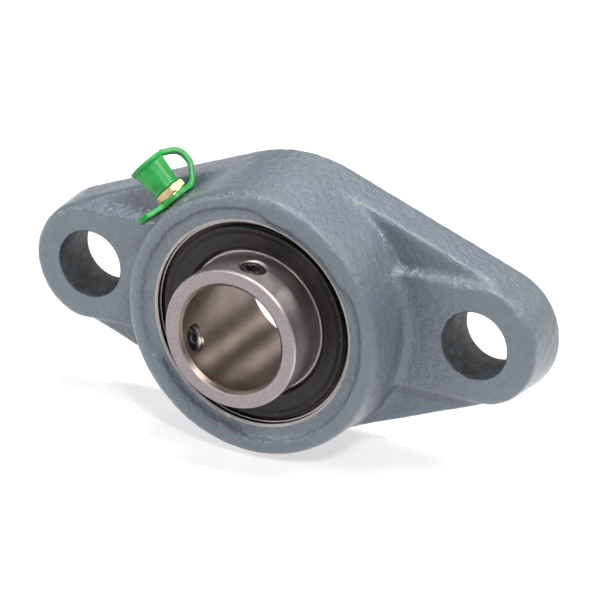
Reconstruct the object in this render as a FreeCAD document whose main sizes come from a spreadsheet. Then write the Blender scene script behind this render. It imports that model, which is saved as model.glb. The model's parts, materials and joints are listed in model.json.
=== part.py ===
import FreeCAD, Part
import math
import os

import Sketcher

# Two-bolt flange mounted ball bearing, in millimetres.
# The shaft lies along Y. The mounting face is the plane Y = 0 and the bearing stands out of it
# towards -Y. X runs through the two bolt holes and Z is up. The origin is where the shaft's axis
# meets the mounting face, midway between the bolt holes.

os.makedirs("parts", exist_ok=True)
doc = FreeCAD.newDocument("flange_mount_bearing")
sheet = doc.addObject("Spreadsheet::Sheet", "sizes")


class Size:
    """A length with its value and the sheet expression that gives it."""

    def __init__(self, value, text):
        self.value = value
        self.text = text

    def __add__(self, other):
        other = as_size(other)
        return Size(self.value + other.value, f"({self.text} + {other.text})")

    def __sub__(self, other):
        other = as_size(other)
        return Size(self.value - other.value, f"({self.text} - {other.text})")

    def __mul__(self, other):
        other = as_size(other)
        return Size(self.value * other.value, f"({self.text} * {other.text})")

    def __truediv__(self, other):
        other = as_size(other)
        return Size(self.value / other.value, f"({self.text} / {other.text})")

    def __neg__(self):
        return Size(-self.value, f"(0 - {self.text})")


def as_size(number):
    return number if isinstance(number, Size) else Size(number, repr(number))


def half_chord(radius, distance):
    """Half the chord that a circle of this radius has at this distance from its centre."""
    value = math.sqrt(radius.value ** 2 - distance.value ** 2)
    return Size(value, f"sqrt({radius.text} * {radius.text} - {distance.text} * {distance.text})")


row_number = 0


def size(name, value, note):
    """Write one driving size into the sheet and give it back as a Size."""
    global row_number
    row_number += 1
    sheet.set(f"A{row_number}", name)
    sheet.set(f"B{row_number}", str(value))
    sheet.set(f"C{row_number}", note)
    sheet.setAlias(f"B{row_number}", name)
    return Size(value, f"sizes.{name}")


# ---- driving sizes ----------------------------------------------------------------------------

bolt_spacing = size("bolt_spacing", 99.0, "between the two bolt holes")
bolt_hole_radius = size("bolt_hole_radius", 8.0, "clears an M14 bolt")
arm_end_radius = size("arm_end_radius", 15.4, "round end of each arm at the mounting face")
arm_thickness = size("arm_thickness", 13.0, "mounting face to the raised pad round a bolt")
ledge_thickness = size("ledge_thickness", 10.0, "mounting face to the ledge beside the pad")
pad_half_width = size("pad_half_width", 14.2, "half the width of the raised pad on an arm")
boss_wall = size("boss_wall", 7.2, "outer ring to the outside of the boss at the mounting face")
draft_angle = size("draft_angle", 3.5, "moulding draft of all the outer walls, in degrees")
rim_rounding = size("rim_rounding", 1.5, "rounding of the boss's front edge")
root_rounding = size("root_rounding", 2.0, "fillet where the boss meets the arms")
pad_rounding = size("pad_rounding", 1.2, "rounding of the pads' front edges")

centre_height = size("centre_height", 16.0, "mounting face to the middle of the bearing")
seat_clearance = size("seat_clearance", 0.06, "between the outer ring and its round seat")
seat_margin = size("seat_margin", 0.8, "round seat beyond each face of the outer ring")
mouth_land = size("mouth_land", 0.3, "end of the round seat to the set-back face")
mouth_bevel = size("mouth_bevel", 0.4, "machined bevel at the front mouth")
back_bore_margin = size("back_bore_margin", 0.5, "cast opening at the back beyond the outer ring")
recess_depth = size("recess_depth", 1.4, "how far the face round the mouth is set back")
recess_wide_margin = size("recess_wide_margin", 2.0, "wide parts of the set-back face beyond the ring")
recess_narrow_margin = size("recess_narrow_margin", 0.3, "narrow parts of the same beyond the ring")
loading_slot_clearance = size("loading_slot_clearance", 0.5, "each side of a ring turned sideways")
grease_groove_depth = size("grease_groove_depth", 0.8, "groove round the seat for the grease")
grease_groove_width = size("grease_groove_width", 3.0, "width of the same groove")

shaft_bore_radius = size("shaft_bore_radius", 12.5, "takes a 25 mm shaft")
inner_ring_wall = size("inner_ring_wall", 4.5, "wall of the inner ring beside its groove")
inner_ring_front = size("inner_ring_front", 19.8, "bearing middle to the inner ring's front face")
inner_ring_back = size("inner_ring_back", 14.3, "bearing middle to the inner ring's back face")
inner_ring_chamfer = size("inner_ring_chamfer", 1.0, "chamfer at both ends of the bore")
inner_ring_edge = size("inner_ring_edge", 0.9, "chamfer round the outside of both ends")
outer_ring_wall = size("outer_ring_wall", 4.0, "wall of the outer ring beside its groove")
outer_ring_width = size("outer_ring_width", 17.0, "outer ring, face to face")
outer_ring_edge = size("outer_ring_edge", 0.3, "chamfer round both faces of the outer ring")
seal_seat_step = size("seal_seat_step", 0.9, "seat of a seal beyond the outer ring's shoulder")
seal_seat_depth = size("seal_seat_depth", 2.3, "outer ring's face to the seal's shoulder")
slinger_room = size("slinger_room", 0.55, "between a slinger and the outer ring round it")
slinger_room_depth = size("slinger_room_depth", 1.0, "depth of the opening a slinger turns in")
grease_hole_radius = size("grease_hole_radius", 0.6, "hole that lets grease through the outer ring")
grease_hole_angle = size("grease_hole_angle", 20.0, "angle of the same hole round the shaft")

ball_radius = size("ball_radius", 3.969, "rolling balls")
ball_count = size("ball_count", 9, "balls round the bearing")
shoulder_gap = size("shoulder_gap", 5.0, "between the inner ring and the outer ring's shoulder")
race_clearance = size("race_clearance", 0.03, "between a ball and either groove")
cage_clearance = size("cage_clearance", 0.15, "between a ball and its pocket")
cage_sheet = size("cage_sheet", 0.6, "thickness of the pressed cage")
cage_gap = size("cage_gap", 1.0, "between the cage and either ring")
rivet_radius = size("rivet_radius", 0.7, "shank of a cage rivet")
rivet_head_radius = size("rivet_head_radius", 1.2, "head of a cage rivet")
rivet_head_height = size("rivet_head_height", 0.5, "height of a cage rivet's head")

seal_gap = size("seal_gap", 0.05, "between a seal's lip and the inner ring")
seal_fit = size("seal_fit", 0.02, "between a seal's plate and its seat")
seal_lip_height = size("seal_lip_height", 1.5, "inner ring to the edge of a seal's plate")
seal_plate_thickness = size("seal_plate_thickness", 0.6, "steel plate of a seal")
seal_lip_width = size("seal_lip_width", 1.1, "rubber of a seal, along the shaft")
slinger_thickness = size("slinger_thickness", 0.7, "sheet of a slinger")
slinger_collar = size("slinger_collar", 0.6, "wall of a slinger's collar on the inner ring")
slinger_collar_length = size("slinger_collar_length", 1.5, "length of the same collar")
slinger_funnel = size("slinger_funnel", 1.1, "width of the bend between collar and disc")
slinger_stand_out = size("slinger_stand_out", 0.4, "slinger's front beyond the outer ring's face")

screw_radius = size("screw_radius", 2.93, "M6 set screw")
screw_clearance = size("screw_clearance", 0.07, "between a set screw and its hole")
screw_back_off = size("screw_back_off", 0.3, "set screw's point to the shaft's bore")
screw_sunk = size("screw_sunk", 0.3, "set screw's head below the inner ring's outside")
screw_point_height = size("screw_point_height", 0.8, "cone at the set screw's point")
screw_from_face = size("screw_from_face", 5.3, "inner ring's front face to a set screw's axis")
screw_first_angle = size("screw_first_angle", 79.0, "angle of the first set screw round the shaft")
screw_spread = size("screw_spread", 120.0, "angle between the two set screws")
screw_mouth = size("screw_mouth", 0.5, "countersink round a set screw's hole")
screw_key = size("screw_key", 3.0, "hexagon key, across flats")
screw_key_depth = size("screw_key_depth", 2.0, "depth of the key's socket")

pin_radius = size("pin_radius", 1.1, "pin that stops the outer ring turning")
pin_depth = size("pin_depth", 1.5, "how deep the pin sits in the outer ring")
pin_stand_out = size("pin_stand_out", 1.3, "how far the pin stands out of the outer ring")
pin_clearance = size("pin_clearance", 0.05, "between the pin and its hole in the outer ring")
pin_slot_side = size("pin_slot_side", 0.3, "between the pin and the sides of its slot")
pin_slot_end = size("pin_slot_end", 1.3, "between the pin and the ends of its slot")

nipple_angle = size("nipple_angle", 138.0, "angle of the grease nipple round the shaft")
nipple_sunk = size("nipple_sunk", 0.0272, "nipple's base below the wall at its eyelet's back edge")
nipple_thread_radius = size("nipple_thread_radius", 2.95, "M6 thread of the nipple")
nipple_thread_gap = size("nipple_thread_gap", 0.05, "between the thread and its hole")
nipple_thread_length = size("nipple_thread_length", 4.5, "thread in the housing")
nipple_hole_spare = size("nipple_hole_spare", 0.3, "hole below the end of the thread")
nipple_hex = size("nipple_hex", 7.0, "hexagon, across flats")
nipple_hex_start = size("nipple_hex_start", 1.7, "base of the nipple to its hexagon")
nipple_hex_height = size("nipple_hex_height", 1.7, "height of the hexagon")
nipple_neck_radius = size("nipple_neck_radius", 1.9, "neck under the nipple's head")
nipple_neck_slope = size("nipple_neck_slope", 0.4, "slope from the hexagon down to the neck")
nipple_neck_length = size("nipple_neck_length", 0.6, "straight part of the neck")
nipple_head_radius = size("nipple_head_radius", 2.75, "widest part of the nipple's head")
nipple_head_rise = size("nipple_head_rise", 3.48, "hexagon to the widest part of the head")
nipple_head_band = size("nipple_head_band", 0.8, "straight band round the head")
nipple_tip_radius = size("nipple_tip_radius", 1.7, "flat tip of the nipple's head")
nipple_tip_height = size("nipple_tip_height", 5.8, "hexagon to the nipple's tip")
nipple_passage_radius = size("nipple_passage_radius", 1.2, "grease passage")
nipple_mouth_radius = size("nipple_mouth_radius", 0.9, "opening that the check ball closes")
nipple_mouth_depth = size("nipple_mouth_depth", 0.4, "depth of the same opening")
nipple_mouth_taper = size("nipple_mouth_taper", 0.3, "slope from the opening to the passage")
check_ball_radius = size("check_ball_radius", 1.1, "check ball in the nipple")
check_ball_gap = size("check_ball_gap", 0.05, "between the check ball and its opening")
spring_radius = size("spring_radius", 0.8, "middle of the check spring's wire")
spring_wire_radius = size("spring_wire_radius", 0.2, "wire of the check spring")
spring_turns = size("spring_turns", 5, "turns of the check spring")
spring_start = size("spring_start", 1.5, "base of the nipple to the check spring")
spring_top = size("spring_top", 0.88, "top of the check spring to the check ball's middle")

cap_base_radius = size("cap_base_radius", 3.4, "outside of the nipple's cap by the hexagon")
cap_end_radius = size("cap_end_radius", 4.0, "outside of the cap at its far end")
cap_roof = size("cap_roof", 1.5, "thickness of the cap's closed end")
cap_gap = size("cap_gap", 0.1, "between the cap and the hexagon, and round the nipple's head")
strap_thickness = size("strap_thickness", 1.3, "sheet of the cap's strap")
strap_width = size("strap_width", 2.6, "width of the cap's strap")
strap_loop_radius = size("strap_loop_radius", 5.6, "middle line of the strap's loop")
strap_loop_angle = size("strap_loop_angle", 66.0, "half the angle that the loop turns through")
strap_overlap = size("strap_overlap", 0.39, "how far the loop's foot reaches into the eyelet")
strap_room = size("strap_room", 0.025, "least room between the strap and the casting")
eyelet_gap = size("eyelet_gap", 0.25, "between the strap's eyelet and the nipple")
eyelet_radius = size("eyelet_radius", 5.0, "outside of the strap's eyelet")
strap_tab_reach = size("strap_tab_reach", 9.2, "nipple's axis to the end of the strap's pull tab")

# ---- sizes that follow from them --------------------------------------------------------------

inner_ring_radius = shaft_bore_radius + inner_ring_wall
outer_shoulder_radius = inner_ring_radius + shoulder_gap
pitch_radius = inner_ring_radius + shoulder_gap / 2
outer_ring_radius = outer_shoulder_radius + outer_ring_wall
outer_half_width = outer_ring_width / 2
cage_inner_radius = inner_ring_radius + cage_gap
cage_outer_radius = outer_shoulder_radius - cage_gap
seal_seat_radius = outer_shoulder_radius + seal_seat_step
seal_plate_inner = inner_ring_radius + seal_lip_height
slinger_radius = seal_seat_radius
slinger_room_radius = slinger_radius + slinger_room
screw_length = inner_ring_wall - screw_back_off - screw_sunk
screw_height = -(centre_height + inner_ring_front - screw_from_face)

half_spacing = bolt_spacing / 2
boss_radius = outer_ring_radius + boss_wall
seat_half_width = outer_half_width + seat_margin
boss_height = centre_height + seat_half_width + mouth_land + recess_depth
back_bore_radius = outer_ring_radius + back_bore_margin
recess_wide_radius = outer_ring_radius + recess_wide_margin
recess_narrow_radius = outer_ring_radius + recess_narrow_margin

draft_slope = math.tan(math.radians(draft_angle.value))
nipple_seat = boss_radius - (centre_height - eyelet_radius) * draft_slope - nipple_sunk
nipple_hex_top = nipple_hex_start + nipple_hex_height
nipple_height = nipple_hex_top + nipple_tip_height
strap_seat = nipple_seat + (nipple_hex_start - strap_thickness) / 2
cap_length = nipple_tip_height + cap_gap + cap_roof

doc.recompute()

axis_y = FreeCAD.Vector(0, 1, 0)
own_z = FreeCAD.Vector(0, 0, 1)
pin_angle = 270
overcut = as_size(1)
same_place = 0.01

# Angles, in degrees, where the set-back face is wide and where it is narrow. Both repeat half a
# turn on, and short straight steps join them.
recess_wide_arc = (87, 205)
recess_narrow_arc = (213, 259)


# ---- helpers ----------------------------------------------------------------------------------

def origin_plane(body, role):
    for feature in body.Origin.OriginFeatures:
        if feature.Role == role:
            return feature
    raise ValueError(f"no plane {role}")


def new_sketch(body, name, role):
    sketch = body.newObject("Sketcher::SketchObject", name)
    sketch.AttachmentSupport = [(origin_plane(body, role), "")]
    sketch.MapMode = "FlatFace"
    return sketch


def bind(sketch, kind, elements, length, name):
    """Add a dimension to a sketch and bind it to the sheet."""
    index = sketch.addConstraint(Sketcher.Constraint(kind, *elements, length.value))
    sketch.renameConstraint(index, name)
    sketch.setExpression(f"Constraints.{name}", length.text)


def place_point(sketch, geometry, end, across, along, tag, skip_across=False):
    """Hold one end of a line or arc at (across, along) from the sketch's origin."""
    if not skip_across:
        if across.value == 0:
            sketch.addConstraint(Sketcher.Constraint("PointOnObject", geometry, end, -2))
        else:
            bind(sketch, "DistanceX", (-1, 1, geometry, end), across, f"across_{tag}")
    if along.value == 0:
        sketch.addConstraint(Sketcher.Constraint("PointOnObject", geometry, end, -1))
    else:
        bind(sketch, "DistanceY", (-1, 1, geometry, end), along, f"along_{tag}")


def closed_profile(sketch, steps):
    """Draw a closed outline.

    Each step is (across, along) for a corner reached by a line, or (across, along, centre_across,
    centre_along, turn) for a corner reached by an arc, with turn +1 anticlockwise or -1 clockwise.
    """
    count = len(steps)
    for number, step in enumerate(steps):
        before = steps[number - 1]
        start = FreeCAD.Vector(before[0].value, before[1].value, 0)
        end = FreeCAD.Vector(step[0].value, step[1].value, 0)
        if len(step) == 2:
            sketch.addGeometry(Part.LineSegment(start, end), False)
            continue
        centre = FreeCAD.Vector(step[2].value, step[3].value, 0)
        first = math.atan2(start.y - centre.y, start.x - centre.x)
        last = math.atan2(end.y - centre.y, end.x - centre.x)
        if step[4] < 0:
            first, last = last, first
        circle = Part.Circle(centre, FreeCAD.Vector(0, 0, 1), start.distanceToPoint(centre))
        sketch.addGeometry(Part.ArcOfCircle(circle, first, last), False)

    def ends(number):
        """Vertex numbers of the start and the end of a step's line or arc."""
        step = steps[number]
        return (2, 1) if len(step) == 5 and step[4] < 0 else (1, 2)

    for number, step in enumerate(steps):
        following = (number + 1) % count
        sketch.addConstraint(Sketcher.Constraint(
            "Coincident", number, ends(number)[1], following, ends(following)[0]))
        is_arc = len(step) == 5
        place_point(sketch, number, ends(number)[1], step[0], step[1], str(number), is_arc)
        if is_arc:
            place_point(sketch, number, 3, step[2], step[3], f"{number}c")


def revolve(body, sketch, kind="PartDesign::Revolution"):
    feature = body.newObject(kind, f"{sketch.Name}_turn")
    feature.Profile = sketch
    feature.ReferenceAxis = (sketch, ["V_Axis"])
    feature.Angle = 360.0
    return feature


def turned(name, steps):
    """A body turned about its own Y axis from an outline in radius and height."""
    body = doc.addObject("PartDesign::Body", name)
    sketch = new_sketch(body, f"{name}_profile", "XY_Plane")
    closed_profile(sketch, steps)
    revolve(body, sketch)
    doc.recompute()
    return body


def primitive(kind, name, **bound):
    """A Part primitive whose sizes are bound to the sheet."""
    shape = doc.addObject(kind, name)
    for prop, length in bound.items():
        shape.setExpression(prop, as_size(length).text)
    return shape


def combine(kind, name, *pieces):
    """A Part boolean: Cut takes a base and a tool, the others any number of shapes."""
    result = doc.addObject(kind, name)
    if kind == "Part::Cut":
        result.Base, result.Tool = pieces
    else:
        result.Shapes = list(pieces)
    return result


def turn_to(direction, from_axis=axis_y):
    return FreeCAD.Rotation(from_axis, direction)


def round_direction(degrees):
    """Unit vector square to the shaft, at this angle from +X towards +Z."""
    angle = math.radians(degrees)
    return FreeCAD.Vector(math.cos(angle), 0, math.sin(angle))


def bind_base(shape, x, y, z):
    for letter, length in zip("xyz", (x, y, z)):
        shape.setExpression(f".Placement.Base.{letter}", as_size(length).text)


def edges_where(shape, test):
    return [f"Edge{i + 1}" for i, edge in enumerate(shape.Edges) if test(edge)]


subparts = []


def finish(shape, label):
    shape.Label = label
    subparts.append(shape)


# ---- the strap's outlines, which the casting leaves free ---------------------------------------

nipple_way = round_direction(nipple_angle.value)


def strap_plate(name, spare, height):
    """The strap's flat part without its hole: the eyelet and the pull tab, this much larger."""
    reach = strap_tab_reach - strap_width
    outside = primitive("Part::Cylinder", f"{name}_outside", Radius=eyelet_radius + spare,
                        Height=height)
    tab = primitive("Part::Box", f"{name}_tab", Length=reach, Width=(strap_width + spare) * 2,
                    Height=height)
    tab_end = primitive("Part::Cylinder", f"{name}_tab_end", Radius=strap_width + spare,
                        Height=height)
    bind_base(tab, -reach, -(strap_width + spare), 0)
    bind_base(tab_end, -reach, 0, 0)
    return [outside, tab, tab_end]


def strap_loop(name, spare, hollow):
    """The loop in the strap's own XZ plane: it leaves the eyelet and turns back to the cap."""
    outer = strap_loop_radius + strap_thickness / 2 + spare
    inner = strap_loop_radius - strap_thickness / 2
    rise = math.sin(math.radians(strap_loop_angle.value))
    run = math.cos(math.radians(strap_loop_angle.value))
    centre_rise = strap_loop_radius * rise + strap_thickness / 2
    centre_run = eyelet_radius - strap_overlap - strap_loop_radius * run
    corners = [
        (centre_run + outer * run, centre_rise - outer * rise),
        (centre_run + outer * run, centre_rise + outer * rise, centre_run, centre_rise, 1)]
    if hollow:
        corners += [
            (centre_run + inner * run, centre_rise + inner * rise),
            (centre_run + inner * run, centre_rise - inner * rise, centre_run, centre_rise, -1)]
    body = doc.addObject("PartDesign::Body", name)
    sketch = new_sketch(body, f"{name}_outline", "XZ_Plane")
    closed_profile(sketch, corners)
    pad = body.newObject("PartDesign::Pad", f"{name}_pad")
    pad.Profile = sketch
    pad.Midplane = True
    pad.setExpression("Length", (strap_width + spare * 2).text)
    doc.recompute()
    return body


def lay_strap(shape, lift):
    """Own Z goes out along the nipple, own X halfway between the mounting face and across."""
    across = FreeCAD.Vector(-nipple_way.z, 0, nipple_way.x) * -1
    own_x = across + axis_y
    own_x.normalize()
    shape.Placement.Rotation = FreeCAD.Rotation(own_x, nipple_way.cross(own_x), nipple_way, "ZXY")
    distance = strap_seat + lift
    bind_base(shape, distance * nipple_way.x, -centre_height, distance * nipple_way.z)


# ---- housing ----------------------------------------------------------------------------------

def pad_forward(body, sketch, length, name):
    """Pad a sketch on the mounting face forwards, towards -Y, with the mould's draft."""
    pad = body.newObject("PartDesign::Pad", name)
    pad.Profile = sketch
    pad.setExpression("Length", length.text)
    pad.setExpression("TaperAngle", (-draft_angle).text)
    doc.recompute()
    if pad.Shape.BoundBox.YMax > same_place:
        raise ValueError(f"{name} points away from the front")
    return pad


def diamond(sketch):
    """Flange outline: three circles joined by the lines that touch them."""
    centre = FreeCAD.Vector(0, 0, 0)
    up = FreeCAD.Vector(0, 0, 1)
    reach = half_spacing.value
    lean = math.acos((boss_radius.value - arm_end_radius.value) / reach)
    touch = FreeCAD.Vector(math.cos(lean), math.sin(lean), 0)
    right = FreeCAD.Vector(reach, 0, 0)
    left = FreeCAD.Vector(-reach, 0, 0)

    def mirrored(vector, along_x, along_y):
        return FreeCAD.Vector(vector.x * along_x, vector.y * along_y, 0)

    def arc(middle, radius, first, last):
        return Part.ArcOfCircle(Part.Circle(middle, up, radius), first, last)

    def line(along_x, along_y, end_centre):
        way = mirrored(touch, along_x, along_y)
        return Part.LineSegment(way * boss_radius.value, end_centre + way * arm_end_radius.value)

    top = arc(centre, boss_radius.value, lean, math.pi - lean)
    bottom = arc(centre, boss_radius.value, math.pi + lean, 2 * math.pi - lean)
    right_end = arc(right, arm_end_radius.value, -lean, lean)
    left_end = arc(left, arm_end_radius.value, math.pi - lean, math.pi + lean)
    outline = [top, bottom, right_end, left_end,
               line(1, 1, right), line(-1, 1, left), line(1, -1, right), line(-1, -1, left)]
    for piece in outline:
        sketch.addGeometry(piece, False)
    touching = [(4, 1, 0, 1), (4, 2, 2, 2), (5, 1, 0, 2), (5, 2, 3, 1),
                (6, 1, 1, 2), (6, 2, 2, 1), (7, 1, 1, 1), (7, 2, 3, 2)]
    for line_number, line_end, arc_number, arc_end in touching:
        sketch.addConstraint(Sketcher.Constraint(
            "Tangent", line_number, line_end, arc_number, arc_end))
    for arc_number in (0, 1):
        sketch.addConstraint(Sketcher.Constraint("Coincident", arc_number, 3, -1, 1))
        bind(sketch, "Radius", (arc_number,), boss_radius, f"boss_{arc_number}")
    for arc_number in (2, 3):
        sketch.addConstraint(Sketcher.Constraint("PointOnObject", arc_number, 3, -1))
        bind(sketch, "Radius", (arc_number,), arm_end_radius, f"end_{arc_number}")
    bind(sketch, "DistanceX", (-1, 1, 2, 3), half_spacing, "right_reach")
    bind(sketch, "DistanceX", (-1, 1, 3, 3), -half_spacing, "left_reach")


def flange_steps():
    """The same outline's ledges: what is cut away beside the two pads, above and below."""
    far = boss_radius + arm_end_radius + half_spacing
    out = boss_radius * 2
    upper = [(far, pad_half_width), (far, out), (-far, out), (-far, pad_half_width)]
    lower = [(x, -z) for x, z in reversed(upper)]
    return [upper, lower]


def polar(radius, degrees):
    angle = math.radians(degrees)
    return (radius * math.cos(angle), radius * math.sin(angle))


def recess_steps():
    """Outline of the set-back face: wide over two arcs and narrow over the two between them."""
    zero = as_size(0)
    corners = []
    for turn in (0, 180):
        for radius, (first, last) in ((recess_wide_radius, recess_wide_arc),
                                      (recess_narrow_radius, recess_narrow_arc)):
            corners.append((radius, first + turn, False))
            corners.append((radius, last + turn, True))
    steps = []
    for radius, degrees, by_arc in corners:
        across, along = polar(radius, degrees)
        steps.append((across, along, zero, zero, 1) if by_arc else (across, along))
    return steps


def pocket(body, sketch, name, length=None):
    """Cut a sketch's outline out of the body on whichever side of its plane the body lies."""
    before = body.Tip.Shape.Volume
    cut = body.newObject("PartDesign::Pocket", name)
    cut.Profile = sketch
    if length is None:
        cut.Type = "ThroughAll"
        cut.Midplane = True
    else:
        cut.setExpression("Length", length.text)
    doc.recompute()
    if cut.Shape.Volume > before - same_place:
        cut.Reversed = True
        doc.recompute()
    if cut.Shape.Volume > before - same_place:
        raise ValueError(f"{name} cuts nothing")
    return cut


def front_sketch(body, name, height):
    """A sketch square to the shaft, this far in front of the mounting face."""
    sketch = new_sketch(body, name, "XZ_Plane")
    sketch.setExpression(".AttachmentOffset.Base.z", height.text)
    return sketch


def round_edges(body, base, name, radius, test):
    fillet = body.newObject("PartDesign::Fillet", name)
    fillet.Base = (base, edges_where(base.Shape, test))
    fillet.setExpression("Radius", radius.text)
    doc.recompute()
    return fillet


def make_housing():
    body = doc.addObject("PartDesign::Body", "housing_casting")

    outline = new_sketch(body, "flange_outline", "XZ_Plane")
    diamond(outline)
    pad_forward(body, outline, arm_thickness, "flange")

    for number, steps in enumerate(flange_steps()):
        ledge = front_sketch(body, f"ledge_{number}", arm_thickness)
        closed_profile(ledge, steps)
        pocket(body, ledge, f"ledge_cut_{number}", arm_thickness - ledge_thickness)

    ledges = body.Tip
    front = -arm_thickness.value

    def on_pad_edge(edge):
        level = all(abs(vertex.Y - front) < same_place for vertex in edge.Vertexes)
        return level and abs(edge.BoundBox.YMax - front) < same_place

    round_edges(body, ledges, "pad_edges", pad_rounding, on_pad_edge)

    # The boss tapers as the flange does, from the mounting face to the front rim.
    narrowing = boss_height * draft_slope
    boss_profile = new_sketch(body, "boss_profile", "XY_Plane")
    zero = as_size(0)
    closed_profile(boss_profile, [
        (zero, zero), (boss_radius, zero), (boss_radius - narrowing, -boss_height),
        (zero, -boss_height)])
    boss = revolve(body, boss_profile)
    doc.recompute()

    rim = -boss_height.value

    def on_rim(edge):
        box = edge.BoundBox
        return abs(box.YMax - rim) < same_place and abs(box.YMin - rim) < same_place

    rim_round = round_edges(body, boss, "rim_edge", rim_rounding, on_rim)

    def on_root(edge):
        """The arcs where the boss's wall rises from a pad."""
        box = edge.BoundBox
        level = abs(box.YMax - front) < same_place and abs(box.YMin - front) < same_place
        reach = max(abs(box.XMax), abs(box.XMin))
        return level and reach < boss_radius.value and edge.Length > boss_wall.value

    round_edges(body, rim_round, "boss_root", root_rounding, on_root)

    # Recess round the mouth.
    recess = front_sketch(body, "recess_outline", boss_height)
    closed_profile(recess, recess_steps())
    pocket(body, recess, "recess_cut", recess_depth)

    # Opening through the middle: cast at the back, then the ball-shaped seat, then the mouth.
    seat_radius = outer_ring_radius + seat_clearance
    mouth_radius = half_chord(seat_radius, seat_half_width)
    middle = -centre_height
    seat_front = middle - seat_half_width
    seat_back = middle + seat_half_width
    beyond = boss_height + overcut
    opening = new_sketch(body, "opening_profile", "XY_Plane")
    closed_profile(opening, [
        (zero, overcut), (back_bore_radius, overcut), (back_bore_radius, zero),
        (mouth_radius, seat_back),
        (mouth_radius, seat_front, zero, middle, -1),
        (mouth_radius + mouth_bevel, seat_front - mouth_bevel),
        (mouth_radius + mouth_bevel, -beyond), (zero, -beyond)])
    before = body.Tip.Shape.Volume
    groove = revolve(body, opening, "PartDesign::Groove")
    doc.recompute()
    if groove.Shape.Volume > before - same_place:
        raise ValueError("the opening cuts nothing")

    # Bolt holes.
    holes = new_sketch(body, "bolt_holes", "XZ_Plane")
    for number, reach in enumerate((half_spacing, -half_spacing)):
        centre = FreeCAD.Vector(reach.value, 0, 0)
        holes.addGeometry(Part.Circle(centre, FreeCAD.Vector(0, 0, 1), bolt_hole_radius.value), False)
        holes.addConstraint(Sketcher.Constraint("PointOnObject", number, 3, -1))
        bind(holes, "DistanceX", (-1, 1, number, 3), reach, f"reach_{number}")
        bind(holes, "Radius", (number,), bolt_hole_radius, f"hole_{number}")
    pocket(body, holes, "bolt_hole_cut")
    doc.recompute()

    # Cuts made after casting: grease groove, loading slots, pin slot and the nipple's hole.
    groove_ring = primitive("Part::Cylinder", "groove_outside",
                            Radius=seat_radius + grease_groove_depth, Height=grease_groove_width)
    groove_ring.Placement.Rotation = turn_to(axis_y, own_z)
    bind_base(groove_ring, 0, -(centre_height + grease_groove_width / 2), 0)

    # The bearing goes in from the back turned sideways, through a slot each side of its seat.
    slot_height = outer_ring_width + loading_slot_clearance * 2
    slot = primitive("Part::Box", "loading_slot", Length=seat_radius * 2, Height=slot_height,
                     Width=centre_height + overcut)
    bind_base(slot, -seat_radius, -centre_height, -(slot_height / 2))

    pin_slot_height = pin_stand_out + pin_slot_side
    pin_slot = primitive("Part::Box", "pin_slot", Length=(pin_radius + pin_slot_side) * 2,
                         Width=(pin_radius + pin_slot_end) * 2,
                         Height=pin_slot_height + overcut * 2)
    bind_base(pin_slot, -(pin_radius + pin_slot_side), -(centre_height + pin_radius + pin_slot_end),
              -(outer_ring_radius + pin_slot_height))

    thread_hole = primitive("Part::Cylinder", "nipple_hole",
                            Radius=nipple_thread_radius + nipple_thread_gap,
                            Height=nipple_thread_length + nipple_hole_spare + nipple_hex_start)
    passage = primitive("Part::Cylinder", "grease_passage", Radius=nipple_passage_radius,
                        Height=nipple_seat)
    for shape, start in ((thread_hole, nipple_seat - nipple_thread_length - nipple_hole_spare),
                         (passage, outer_ring_radius - overcut)):
        shape.Placement.Rotation = turn_to(nipple_way, own_z)
        bind_base(shape, start * nipple_way.x, -centre_height, start * nipple_way.z)

    tools = combine("Part::MultiFuse", "housing_cuts",
                    groove_ring, slot, pin_slot, thread_hole, passage)
    machined = combine("Part::Cut", "housing_machined", body, tools)

    # A ledge that would reach the strap is cut back round it, outwards from under the eyelet.
    flat_room = combine("Part::MultiFuse", "strap_plate_room",
                        *strap_plate("room", strap_room, nipple_height + strap_room))
    loop_room = strap_loop("loop_room", strap_room, False)
    lay_strap(flat_room, -strap_room)
    lay_strap(loop_room, 0)
    room = combine("Part::MultiFuse", "strap_room_tool", flat_room, loop_room)
    finish(combine("Part::Cut", "housing_shape", machined, room), "housing")


make_housing()


# ---- outer ring, inner ring and the pin between ring and housing ------------------------------

def radial_cylinder(name, radius, start, length, degrees, height):
    """A cylinder that runs straight out from the shaft's axis."""
    way = round_direction(degrees)
    cylinder = primitive("Part::Cylinder", name, Radius=radius, Height=length)
    cylinder.Placement.Rotation = turn_to(way, own_z)
    bind_base(cylinder, start * way.x, height, start * way.z)
    return cylinder


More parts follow.
